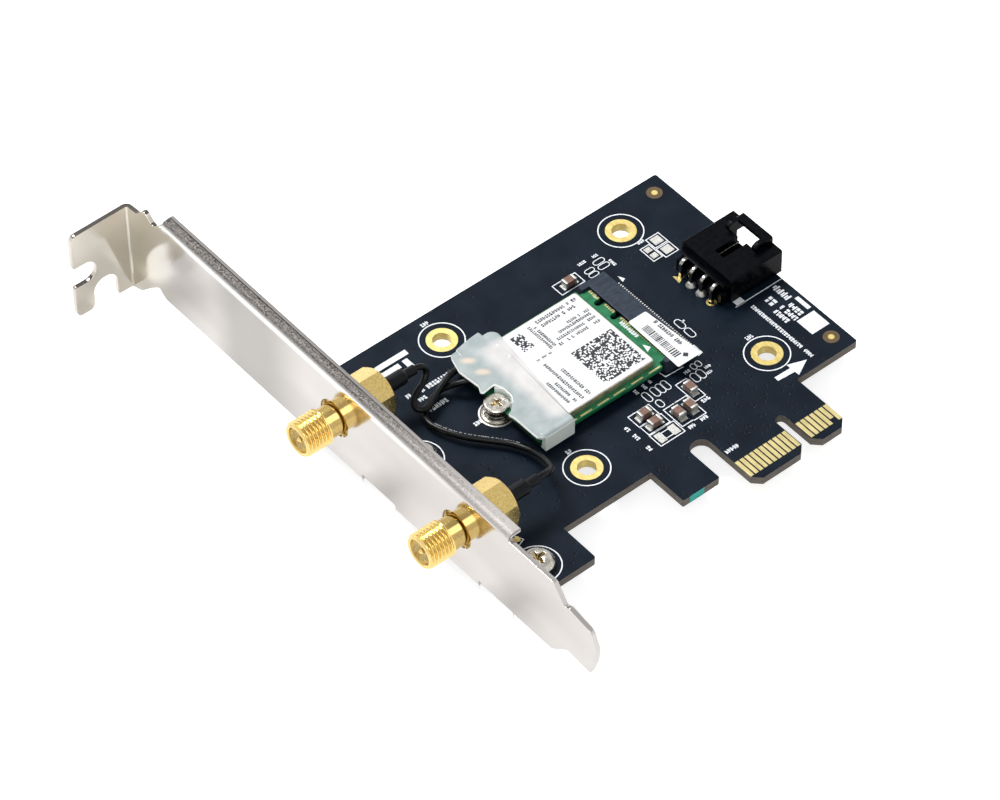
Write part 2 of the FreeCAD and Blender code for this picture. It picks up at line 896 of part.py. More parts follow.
# The plug's cap covers the receptacle's ring and its rim rests on the receptacle's base.
def coax_plug(y, turn):
    rim = module_top + receptacle_base
    cap = turned("z", (plug_x, y), [
        (rim, plug_bore_radius),
        (rim, plug_radius),
        (plug_top - 0.15, plug_radius),
        (plug_top, plug_radius - 0.15),
        (plug_top, 0),
        (plug_top - plug_roof, 0),
        (plug_top - plug_roof, plug_bore_radius),
    ])
    tail = Part.makeCylinder(plug_tail_radius, plug_tail_reach - plug_bore_radius - 0.1,
                             Vector(plug_x - plug_tail_reach, y, cable_end_z), Vector(1, 0, 0))
    wings = block(plug_x - plug_tail_reach + 0.5, plug_x - plug_bore_radius - 0.1,
                  y - plug_tail_radius - 0.12, y + plug_tail_radius + 0.12,
                  rim, cable_end_z + 0.1)
    plug = one_solid(cap.fuse([tail, wings]))
    plug.rotate(Vector(plug_x, y, 0), Vector(0, 0, 1), -turn)
    return plug


# The clip's plate lies on the module's label. Its cut-out leaves the screw's middle free and only
# the head's rim lies below the plate. Two skirts hook under the module's long edges, and the far
# one widens towards the shield.
def antenna_clip():
    left = module_left - clip_overhang
    inner_left = shield_left + clip_hold_near
    inner_right = shield_left + clip_hold_far
    behind_screw = module_left + clip_screw_room
    corners = [
        (module_left, module_far + clip_ledge, 1.0),
        (inner_right, module_far + clip_ledge, 1.5),
        (inner_left, module_near - 0.6, 1.2),
        (left + 0.1, module_near - 0.8, 1.2),
        (left, module_y - 5.2, 0.3),
        (left - 0.3, module_y - 4.2, 0.3),
        (module_left - 0.1, module_y - 3.8),
        (module_left + 1.4, module_y - 2.5, 0.3),
        (behind_screw, module_y - 1.3, 0.6),
        (behind_screw, module_y + 0.9, 0.6),
        (module_left + 1.5, module_y + 2.4, 0.3),
        (left - 0.3, module_y + 2.1, 0.3),
        (left - 0.6, module_y + 2.5, 0.2),
        (left, module_y + 3.7),
        (left - 0.4, module_y + 8.1, 0.8),
    ]
    plate = pad("z", corners, label_top, clip_top)
    top = clip_top + clip_skirt_rise
    skirts = []
    for side, edge, start, end, flare in (
            (-1, module_near, module_left + 0.3, inner_left - 0.1, 0),
            (1, module_far, module_left + 1.4, inner_left + 0.2, clip_skirt_flare)):
        thinnest = edge + side * clip_skirt_thickness
        outer = thinnest + side * flare
        section = [
            (edge, module_bottom),
            (edge, label_top),
            (edge - side * 0.6, label_top),
            (edge - side * 0.6, clip_top),
            (edge + side * 0.1, top),
            (outer, top, clip_round),
            (outer, module_bottom - clip_lip_height),
            (edge, module_bottom - clip_lip_height),
            (edge - side * clip_lip, module_bottom - 0.2),
            (edge - side * clip_lip, module_bottom),
        ]
        plan = [(start, edge - side), (start, thinnest), (end, outer), (end, edge - side)]
        skirt = pad("x", section, start, end)
        skirts.append(skirt.common(pad("z", plan, module_bottom - clip_lip_height, top)))
    marks = []
    for gap in clip_mark_gaps:
        marks.append(drill(shield_left + 2.4, module_far - gap, 0.3, clip_top - 0.1, clip_top))
    return one_solid(plate.fuse(skirts).cut(marks))


# Right-angle header: shroud open away from the bracket, slotted roof with a collar for the
# plug's latch, and a comb of fins at the rear between the pins.
def header_housing():
    half = header_width / 2
    low = header_y - half
    high = header_y + half
    shroud = block(header_back, header_front, low, high, 0, header_height)
    edges = [edge for edge in shroud.Edges if edge.BoundBox.XLength > header_length - 0.1]
    shroud = shroud.makeFillet(0.3, edges)
    roof = header_height - header_roof
    cavity = block(header_back + header_rear_wall, header_front, low + header_wall,
                   high - header_wall, header_floor, roof)
    floor_gap = block(header_front - header_floor_end, header_front, low + header_wall,
                      high - header_wall, 0, header_floor)
    latch_slot = block(header_back + 2.7, header_front, header_y - latch_slot_width / 2,
                       header_y + latch_slot_width / 2, roof, header_height)
    window = block(header_front - 3.4, header_front, header_y - latch_window_width / 2,
                   header_y + latch_window_width / 2, roof, header_height)
    collar_half = latch_window_width / 2 + latch_leg_width
    collar_top = header_height + latch_collar_height
    arch = [
        (header_y - collar_half, header_height),
        (header_y - collar_half, collar_top, 0.4),
        (header_y + collar_half, collar_top, 0.4),
        (header_y + collar_half, header_height),
        (header_y + collar_half - latch_leg_width, header_height),
        (header_y + collar_half - latch_leg_width, collar_top - 0.6, 0.3),
        (header_y - collar_half + latch_leg_width, collar_top - 0.6, 0.3),
        (header_y - collar_half + latch_leg_width, header_height),
    ]
    bar = pad("x", arch, header_front - 1.7, header_front)
    legs = []
    for side in (-1, 1):
        inner = header_y + side * (collar_half - latch_leg_width)
        outer = header_y + side * collar_half
        ramp = [
            (header_front - 3.8, header_height),
            (header_front - 3.8, collar_top - 0.5, 0.3),
            (header_front - 3.0, collar_top, 0.3),
            (header_front - 1.6, collar_top),
            (header_front - 1.6, header_height),
        ]
        legs.append(pad("y", ramp, min(inner, outer), max(inner, outer)))
    fins = []
    for i in range(pin_count + 1):
        y = header_y + (i - pin_count / 2) * pin_pitch
        fins.append(block(header_back - fin_length, header_back, y - fin_width / 2,
                          y + fin_width / 2, 0, fin_height))
    pin_half = pin_width / 2 + pin_clearance
    pin_holes = [block(header_back, header_back + header_rear_wall, y - pin_half, y + pin_half,
                       pin_z - pin_half, pin_z + pin_half) for y in pins_y]
    body = shroud.cut([cavity, floor_gap, latch_slot, window]).fuse([bar] + legs + fins)
    return one_solid(body.cut(pin_holes))


def header_pins():
    half = pin_width / 2
    tip = header_front - pin_tip_depth
    pins = []
    for y in pins_y:
        profile = [
            (tip, pin_z - half),
            (tip, pin_z + half),
            (pin_down_x - half, pin_z + half, pin_bend + pin_width),
            (pin_down_x - half, -pin_below),
            (pin_down_x + half, -pin_below),
            (pin_down_x + half, pin_z - half, pin_bend),
        ]
        pins.append(pad("y", profile, y - half, y + half))
    return Part.makeCompound(pins)


# Solder stands round the two middle pins on top and round every pin underneath.
def header_solder():
    half = pin_width / 2
    cones = []
    for i, y in enumerate(pins_y):
        pin = block(pin_down_x - half, pin_down_x + half, y - half, y + half, -pin_below, pin_z)
        below = turned("z", (pin_down_x, y), [
            (board_bottom, 0),
            (board_bottom, solder_foot_radius),
            (board_bottom - solder_rise, solder_tip_radius),
            (board_bottom - solder_rise, 0),
        ])
        cones.append(one_solid(below.cut(pin)))
        if i in (0, pin_count - 1):
            continue
        above = turned("z", (pin_down_x, y), [
            (0, 0),
            (0, solder_foot_radius),
            (solder_rise, solder_tip_radius),
            (solder_rise, 0),
        ])
        cones.append(one_solid(above.cut(pin)))
    return Part.makeCompound(cones)


def oriented_block(x, y, along_y, start, end, width, low, high):
    """Block beside (x, y), from start to end along the component's length."""
    half = width / 2
    if along_y:
        return block(x - half, x + half, y + start, y + end, low, high)
    return block(x + start, x + end, y - half, y + half, low, high)


def capacitor_bodies():
    low = solder_thickness
    half = capacitor_length / 2 - capacitor_end
    bodies = [oriented_block(x, y, along_y, -half, half, capacitor_width, low,
                             low + capacitor_height) for x, y, along_y in capacitors]
    return Part.makeCompound(bodies)


def capacitor_ends():
    low = solder_thickness
    outer = capacitor_length / 2
    inner = outer - capacitor_end
    ends = []
    for x, y, along_y in capacitors:
        for start in (-outer, inner):
            ends.append(oriented_block(x, y, along_y, start, start + capacitor_end,
                                       capacitor_width, low, low + capacitor_height))
    return Part.makeCompound(ends)


def solder_pads():
    outer = capacitor_length / 2 + solder_reach
    length = capacitor_end + solder_reach
    pads = []
    for x, y, along_y in capacitors:
        for start in (-outer, outer - length):
            pads.append(oriented_block(x, y, along_y, start, start + length, capacitor_width,
                                       0, solder_thickness))
    for x, y, side_x, side_y in bare_pads:
        pads.append(block(x - side_x / 2, x + side_x / 2, y - side_y / 2, y + side_y / 2,
                          0, solder_thickness))
    return Part.makeCompound(pads)


os.makedirs("parts", exist_ok=True)

save("circuit_board", circuit_board())
save("edge_contacts", edge_contacts())
save("plated_holes", plated_holes())
save("bracket", bracket())
for suffix, y in zip(("lower", "upper"), bracket_screws_y):
    save(f"bracket_screw_{suffix}", bracket_screw(y))
for suffix, y in zip("ab", jacks_y):
    save(f"antenna_jack_{suffix}", antenna_jack(y))
    save(f"jack_insulator_{suffix}", jack_insulator(y))
    save(f"jack_contact_{suffix}", jack_contact(y))
    save(f"sleeve_{suffix}", sleeve(y))
save("coax_cable_a", cable("coax_cable_a", cable_a_route))
save("coax_cable_b", cable("coax_cable_b", cable_b_route))
save("module_board", module_board())
save("module_shield", module_shield())
save("module_label", module_label())
save("radio_chips", radio_chips())
save("socket_housing", socket_housing())
save("socket_tails", socket_tails())
save("socket_label", socket_label())
save("standoff", standoff())
save("module_screw", module_screw())
save("coax_receptacles", coax_receptacles())
for suffix, y, turn in zip("ab", plugs_y, plug_turns):
    save(f"coax_plug_{suffix}", coax_plug(y, turn))
save("antenna_clip", antenna_clip())
save("header_housing", header_housing())
save("header_pins", header_pins())
save("header_solder", header_solder())
save("capacitor_bodies", capacitor_bodies())
save("capacitor_ends", capacitor_ends())
save("solder_pads", solder_pads())
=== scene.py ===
import bpy
import bmesh
import math
import random
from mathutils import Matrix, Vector


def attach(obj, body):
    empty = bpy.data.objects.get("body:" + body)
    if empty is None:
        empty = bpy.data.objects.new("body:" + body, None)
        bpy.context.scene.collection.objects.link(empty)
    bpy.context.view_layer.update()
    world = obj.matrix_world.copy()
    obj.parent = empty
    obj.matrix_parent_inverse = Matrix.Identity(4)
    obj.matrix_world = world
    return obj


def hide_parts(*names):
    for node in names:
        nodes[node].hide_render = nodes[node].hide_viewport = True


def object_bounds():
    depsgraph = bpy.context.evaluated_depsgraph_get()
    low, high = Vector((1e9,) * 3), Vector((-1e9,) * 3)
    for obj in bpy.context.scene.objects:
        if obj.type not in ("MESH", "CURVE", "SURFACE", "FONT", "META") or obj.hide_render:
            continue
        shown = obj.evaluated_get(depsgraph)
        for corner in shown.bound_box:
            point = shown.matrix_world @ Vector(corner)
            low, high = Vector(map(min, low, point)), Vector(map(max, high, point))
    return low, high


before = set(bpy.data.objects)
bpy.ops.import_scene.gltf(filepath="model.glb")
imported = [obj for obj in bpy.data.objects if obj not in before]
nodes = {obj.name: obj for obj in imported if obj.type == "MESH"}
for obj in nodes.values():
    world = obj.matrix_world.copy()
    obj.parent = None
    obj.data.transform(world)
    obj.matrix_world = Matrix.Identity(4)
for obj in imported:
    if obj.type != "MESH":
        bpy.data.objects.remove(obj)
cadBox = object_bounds()
scene = bpy.context.scene
mm = 0.001
print("frame loaded:", len(nodes), "nodes")


camera = {
    "location": (-379.23, -387.07, 603.09),  # mm
    "rotation": (42.391, 0.562, -39.741),  # degrees
    "lens": 181.65,
    "sensor": 36,
}


def addCamera():
    data = bpy.data.cameras.new("camera")
    data.lens = camera["lens"]
    data.sensor_width = camera["sensor"]
    data.clip_start = 0.01
    data.clip_end = 20
    holder = bpy.data.objects.new("camera", data)
    holder.location = Vector(camera["location"]) * mm
    holder.rotation_euler = [math.radians(angle) for angle in camera["rotation"]]
    scene.collection.objects.link(holder)
    scene.camera = holder


addCamera()
scene.view_settings.view_transform = "Standard"
print("camera placed")


def linearColour(hexText):
    channels = [int(hexText[i:i + 2], 16) / 255 for i in (1, 3, 5)]
    return [c / 12.92 if c <= 0.04045 else ((c + 0.055) / 1.055) ** 2.4 for c in channels] + [1]


# Sets a node's inputs; each is another node's output, a hex colour or a plain value
def setInputs(tree, node, inputs):
    for key, value in inputs.items():
        if isinstance(value, bpy.types.NodeSocket):
            tree.links.new(value, node.inputs[key])
        else:
            isColour = isinstance(value, str)
            node.inputs[key].default_value = linearColour(value) if isColour else value


# Adds a shader node with its settings and links, and gives back one output or all of them
def addNode(tree, kind, inputs=None, output=0, **settings):
    node = tree.nodes.new("ShaderNode" + kind)
    for name, value in settings.items():
        setattr(node, name, value)
    setInputs(tree, node, inputs or {})
    return node.outputs if output is None else node.outputs[output]


# Works through steps: each has a name, its work and its values, where a text is an earlier step or
# a hex colour. A mix takes a share and two colours; a ramp takes its source, two ends and, unless
# it runs from 0 to 1, two results; all else is plain maths.
def addSteps(tree, known, steps):
    for name, work, *values in steps:
        values = [known.get(value, value) for value in values]
        if work == "MIX":
            known[name] = addNode(tree, "Mix", dict(zip((0, 6, 7), values)), 2, data_type="RGBA")
        elif work in ("LINEAR", "SMOOTHSTEP"):
            sockets = ("Value", "From Min", "From Max", "To Min", "To Max")
            known[name] = addNode(tree, "MapRange", dict(zip(sockets, values)),
                                  interpolation_type=work)
        else:
            known[name] = addNode(tree, "Math", dict(enumerate(values)), operation=work)
    return known


# What the steps start from: where a point lies, in mm, and which way its surface faces
def startSteps(tree):
    metres = addNode(tree, "TexCoord", output="Object")
    place = addNode(tree, "Mapping", {"Vector": metres, "Scale": (1 / mm, 1 / mm, 1 / mm)})
    facing = addNode(tree, "NewGeometry", output="True Normal")
    known = {"place": place}
    for source, names in ((place, "xyz"), (facing, ("along", "across", "upward"))):
        known.update(zip(names, addNode(tree, "SeparateXYZ", {0: source}, None)))
    return known


def startMaterial(name, values):
    material = bpy.data.materials.new(name)
    material.use_nodes = True
    tree = material.node_tree
    shader = tree.nodes["Principled BSDF"]
    setInputs(tree, shader, values)
    return material, tree, shader


# A noise or cell pattern; its sizes are in mm, one for all directions or three for x, y and z
def addPattern(tree, kind, sizes, inputs=None, **settings):
    place = addNode(tree, "TexCoord", output="Object")
    sizes = sizes if isinstance(sizes, tuple) else (sizes,) * 3
    space = addNode(tree, "Mapping", {
        "Vector": place, "Scale": [1 / (size * mm) for size in sizes]})
    return addNode(tree, kind, {"Vector": space, "Scale": 1, **(inputs or {})}, **settings)


noiseRange = (0.32, 0.68)  # nearly all of a noise lies between these


# One noise carries a surface's tone, gloss and relief together; the relief is in mm
def addGrain(tree, shader, sizes, tones, gloss=None, relief=0, detail=3.0):
    noise = addPattern(tree, "TexNoise", sizes, {"Detail": detail})
    step = addSteps(tree, {}, (("spread", "LINEAR", noise, *noiseRange),
                               ("tone", "MIX", "spread", *tones)))
    inputs = {"Base Color": step["tone"]}
    if gloss:
        addSteps(tree, step, [("gloss", "LINEAR", "spread", 0, 1, *gloss)])
        inputs["Roughness"] = step["gloss"]
    if relief:
        inputs["Normal"] = addNode(tree, "Bump", {
            "Height": noise, "Strength": 1, "Distance": relief * mm})
    setInputs(tree, shader, inputs)
    return step


mask = {
    "ink": ("#0c151f", "#121c28"),
    "inkGrain": 6,  # mm
    "gloss": (0.3, 0.38),
    "via": "#04070c",
    "viaSpacing": (1.25, 1.625, 1.25),  # mm between neighbours, before some are left out
    "viaScatter": 0.8,
    "viaRim": (0.1904, 0.0816),  # shares of the spacing between which a dip begins
    "viaDepth": 0.05,  # mm
    "viaMiddle": (-2, 17, 0),
    "viaReach": (9, 16),  # mm from that middle, where most vias and few vias begin
    "viaCrowd": 2.6,  # mm, the size of their groups
    "viaRare": (0.44, 0.62),  # how rare they are near that middle and far from it
    "laminate": ("#4b453f", "#8d857b"),
    "layer": (1.5, 1.5, 0.22),  # mm
    "faceTilt": 0.6,  # what faces up or down more than this is inked
}


# FR4 board under black solder mask: the cured ink is satin with soft dips over the vias, and the
# routed edges show the bare glass laminate in layers
def makeSolderMask():
    material, tree, shader = startMaterial("fr4BlackSolderMask", {
        "IOR": 1.5, "Specular IOR Level": 0.1})
    step = addGrain(tree, shader, mask["inkGrain"], mask["ink"], mask["gloss"])
    step.update(startSteps(tree))
    cells = addPattern(tree, "TexVoronoi", mask["viaSpacing"], {
        "Randomness": mask["viaScatter"]}, voronoi_dimensions="2D")
    crowd = addPattern(tree, "TexNoise", mask["viaCrowd"], {"Detail": 1.0})
    layers = addPattern(tree, "TexNoise", mask["layer"])
    away = addNode(tree, "VectorMath", {0: step["place"], 1: mask["viaMiddle"]}, "Value",
                   operation="DISTANCE")
    facing = addNode(tree, "NewGeometry", output="Normal")
    upward = addNode(tree, "SeparateXYZ", {0: facing}, "Z")
    addSteps(tree, step, (
        ("via", "SMOOTHSTEP", cells, *mask["viaRim"]),
        ("rare", "LINEAR", away, *mask["viaReach"], *mask["viaRare"]),
        ("crowded", "GREATER_THAN", crowd, "rare"),
        ("dip", "MULTIPLY", "via", "crowded"),
        ("face", "MIX", "dip", "tone", mask["via"]),
        ("laminate", "MIX", layers, *mask["laminate"]),
        ("flat", "ABSOLUTE", upward),
        ("onFace", "GREATER_THAN", "flat", mask["faceTilt"]),
        ("surface", "MIX", "onFace", "laminate", "face")))
    relief = addNode(tree, "Bump", {
        "Height": step["dip"], "Strength": 1, "Distance": mask["viaDepth"] * mm},
        invert=True)
    setInputs(tree, shader, {"Base Color": step["surface"], "Normal": relief})
    return material


steel = {
    "tones": ("#c8c3bf", "#d5d0cc"),
    "grain": (9, 26, 9),  # mm, slow changes of tone along the sheet
    "gloss": (0.1, 0.17),
    "shade": "#aba7a3",  # painted shade: a darker stretch of the face
    # painted reflection: the tab's warmer tones stand in for warm light bounced onto it
    "tab": ("#cac4b8", "#d7d1c5"),
    # painted highlight: the face lightens to this below the fold
    "bend": "#fbf9f6",
    "edge": "#6f6a66",  # the tab's cut edges
    "edgeY": 95,  # mm, where they begin
    "edgeTilt": 0.8,  # how far up a cut edge faces
    "flange": ("#312e2d", "#7f7b78"),
    "grit": 0.23,  # mm; the real grit is finer than the render shows
    "speck": (0.36, 0.64),
    "strip": "#7b7876",  # the smooth strip beyond the crease
    "crease": "#191615",
    "creaseX": -56.34,  # mm, a dark line along the flange
    "creaseHalf": 0.075,  # mm
    "polished": "#aaa6a3",  # the flange's tone at its lower end
    "fadePower": 1.7,
    "worn": (0.3, 0.7),  # how much of that tone lies on the grit alone, and how much everywhere
    "sandedGloss": 0.65,
    "soft": (  # the mm between which each share grows from 0 to 1
        ("shadeStart", "y", 55, 68), ("shadeEnd", "y", 83, 75), ("highlightTop", "z", 13.9, 14.9),
        ("highlightStart", "y", 12, 42), ("creaseStart", "y", 20, 34), ("onTop", "z", 14.95, 15.8)),
    "tabY": (90, 99),
    "fadeY": (50, 10),
}


# Nickel-plated steel sheet, rolled and folded: its faces mirror softly with slow changes of tone,
# while the flange's bend was sanded to a grainy grey that ends at a thin dark line; on the face,
# a highlight below the fold, a stretch of shade and the tab's warm reflection are painted
def makeNickelSteel():
    material, tree, shader = startMaterial("nickelPlatedSteelRolled", {"Metallic": 1.0})
    step = addGrain(tree, shader, steel["grain"], steel["tones"], steel["gloss"], detail=1.5)
    step.update(startSteps(tree))
    grit = addPattern(tree, "TexNoise", steel["grit"], {"Detail": 4.0})
    addSteps(tree, step, (
        *((name, "SMOOTHSTEP", *ramp) for name, *ramp in steel["soft"]),
        ("onTab", "LINEAR", "y", *steel["tabY"]),
        ("speck", "LINEAR", grit, *steel["speck"]),
        ("onShade", "MULTIPLY", "shadeStart", "shadeEnd"),
        ("onBendHighlight", "MULTIPLY", "highlightTop", "highlightStart"),
        ("facesUp", "GREATER_THAN", "upward", steel["edgeTilt"]),
        ("beyond", "GREATER_THAN", "y", steel["edgeY"]),
        ("onEdge", "MULTIPLY", "facesUp", "beyond"),
        ("onStrip", "GREATER_THAN", "x", steel["creaseX"]),
        ("line", "COMPARE", "x", steel["creaseX"], steel["creaseHalf"]),
        ("onCrease", "MULTIPLY", "line", "creaseStart"),
        ("fade", "LINEAR", "y", *steel["fadeY"]),
        ("faded", "POWER", "fade", steel["fadePower"]),
        ("worn", "MULTIPLY_ADD", "speck", *steel["worn"]),
        ("onPolished", "MULTIPLY", "faded", "worn"),
        # painted on the face: a stretch of shade, the tab's warm reflection and a highlight below
        # the fold
        ("face", "MIX", "onShade", "tone", steel["shade"]),
        ("warm", "MIX", "spread", *steel["tab"]),
        ("face", "MIX", "onTab", "face", "warm"),
        ("face", "MIX", "onBendHighlight", "face", steel["bend"]),
        ("face", "MIX", "onEdge", "face", steel["edge"]),
        ("sanded", "MIX", "speck", *steel["flange"]),
        ("sanded", "MIX", "onStrip", "sanded", steel["strip"]),
        ("sanded", "MIX", "onCrease", "sanded", steel["crease"]),
        ("sanded", "MIX", "onPolished", "sanded", steel["polished"]),
        ("surface", "MIX", "onTop", "face", "sanded"),
        ("rough", "LINEAR", "onTop", 0, 1, "gloss", steel["sandedGloss"])))
    setInputs(tree, shader, {"Base Color": step["surface"], "Roughness": step["rough"]})
    return material


brass = {
    "tones": ("#e6c677", "#f4d88f"),
    "grit": 0.3,  # mm, drawn coarser than the tool marks of the real flats
    "lathe": (0.14, 5, 5),  # mm, marks that run round the barrel
    "hexX": (-57.5, -57.2),  # mm, between which turned brass gives way to milled flats
    "turnedGloss": (0.1, 0.2),
    "milledGloss": (0.24, 0.36),
    "relief": 0.004,  # mm
    "reliefStrength": 0.6,
}


# Gold-plated brass: the barrel was turned smooth and mirrors sharply, the hexagon's flats were
# milled and have a fine satin grain
def makeGoldBrass():
    material, tree, shader = startMaterial("goldPlatedBrassTurned", {"Metallic": 1.0})
    step = addGrain(tree, shader, brass["grit"], brass["tones"])
    step.update(startSteps(tree))
    lathe = addPattern(tree, "TexNoise", brass["lathe"])
    addSteps(tree, step, (
        ("onHex", "LINEAR", "x", *brass["hexX"]),
        ("turned", "LINEAR", lathe, 0, 1, *brass["turnedGloss"]),
        ("milled", "LINEAR", "spread", 0, 1, *brass["milledGloss"]),
        ("rough", "LINEAR", "onHex", 0, 1, "turned", "milled"),
        ("height", "MULTIPLY", "spread", "onHex")))
    relief = addNode(tree, "Bump", {
        "Height": step["height"], "Strength": brass["reliefStrength"],
        "Distance": brass["relief"] * mm})
    setInputs(tree, shader, {"Roughness": step["rough"], "Normal": relief})
    return material


milky = {
    "overBoard": ("#959fa0", "#a8b0b1"),
    "cloud": 2.5,  # mm
    "gloss": (0.3, 0.4),
    "relief": 0.004,  # mm
    "overLabel": ("#c4c2c1", "#d0cecd"),
    "labelX": (-31.4, -28.6),  # mm, between which the white label starts to show through
    "labelY": (10.6, 8.6),  # mm either side of the module's middle, where it ends
    "middleY": 38.12,
    "overPlug": "#d6c6b2",
    "plugs": ((-32.6, 47.2), (-32.3, 43.7)),
    "plugSize": (1.35, 0.7, 1000),  # mm along, across and above each warm patch
    "plugTurn": -39,  # degrees
    "plugFade": (1.4, 0.3),  # where a patch begins and is full, in those sizes
    "plugTone": 0.8,
    # partly the milky sides' own tone, partly painted light: the sides, which the lamps light
    # little, are lightened
    "skirt": "#e3eeec",
    "skirtTilt": (0.75, 0.5),  # how far up a surface faces where the skirt begins and is full
    # painted highlight: the cut rims turn white and glow by the amount below
    "rim": "#ffffff",
    "rimX": -31.2,  # mm, beyond which the painted highlight stops
    "rimY": (11.1, 10.9),  # mm either side of the middle, where the glow ends
    "rimZ": 3.45,  # mm, above which it glows
    "glow": 0.35,
}


# Polypropylene, moulded thin and milky: what lies under it shows through as soft tones, white from
# the label, cool from the board and warm from the two plugs; its sides are lightened as painted
# light, and its cut rims carry a painted highlight that glows white
def makeMilkyPlastic():
    material, tree, shader = startMaterial("polypropyleneMouldedNatural", {
        "IOR": 1.49, "Specular IOR Level": 0.35, "Emission Color": "#ffffff"})
    step = addGrain(tree, shader, milky["cloud"], milky["overBoard"],
                    milky["gloss"], milky["relief"])
    step.update(startSteps(tree))
    addSteps(tree, step, (
        ("white", "MIX", "spread", *milky["overLabel"]),
        ("fromMiddle", "SUBTRACT", "y", milky["middleY"]),
        ("offMiddle", "ABSOLUTE", "fromMiddle"),
        ("labelStart", "SMOOTHSTEP", "x", *milky["labelX"]),
        ("labelWidth", "SMOOTHSTEP", "offMiddle", *milky["labelY"]),
        ("onLabel", "MULTIPLY", "labelStart", "labelWidth"),
        ("tone", "MIX", "onLabel", "tone", "white")))
    for x, y in milky["plugs"]:
        around = addNode(tree, "Mapping", {
            "Vector": step["place"], "Location": (x, y, 0), "Scale": milky["plugSize"],
            "Rotation": (0, 0, math.radians(milky["plugTurn"]))}, vector_type="TEXTURE")
        away = addNode(tree, "VectorMath", {0: around}, "Value", operation="LENGTH")
        addSteps(tree, step, (
            ("near", "SMOOTHSTEP", away, *milky["plugFade"]),
            ("onPlug", "MULTIPLY", "near", milky["plugTone"]),
            ("tone", "MIX", "onPlug", "tone", milky["overPlug"])))
    # painted light on the sides, and a painted highlight that glows on the rims
    addSteps(tree, step, (
        ("level", "ABSOLUTE", "upward"),
        ("onSkirt", "SMOOTHSTEP", "level", *milky["skirtTilt"]),
        ("rimWidth", "SMOOTHSTEP", "offMiddle", *milky["rimY"]),
        ("highUp", "GREATER_THAN", "z", milky["rimZ"]),
        ("before", "LESS_THAN", "x", milky["rimX"]),
        ("onRimHighlight", "MULTIPLY", "onSkirt", "rimWidth"),
        ("onRimHighlight", "MULTIPLY", "onRimHighlight", "highUp"),
        ("onRimHighlight", "MULTIPLY", "onRimHighlight", "before"),
        ("tone", "MIX", "onSkirt", "tone", milky["skirt"]),
        ("tone", "MIX", "onRimHighlight", "tone", milky["rim"]),
        ("glow", "MULTIPLY", "onRimHighlight", milky["glow"])))
    setInputs(tree, shader, {"Base Color": step["tone"], "Emission Strength": step["glow"]})
    return material


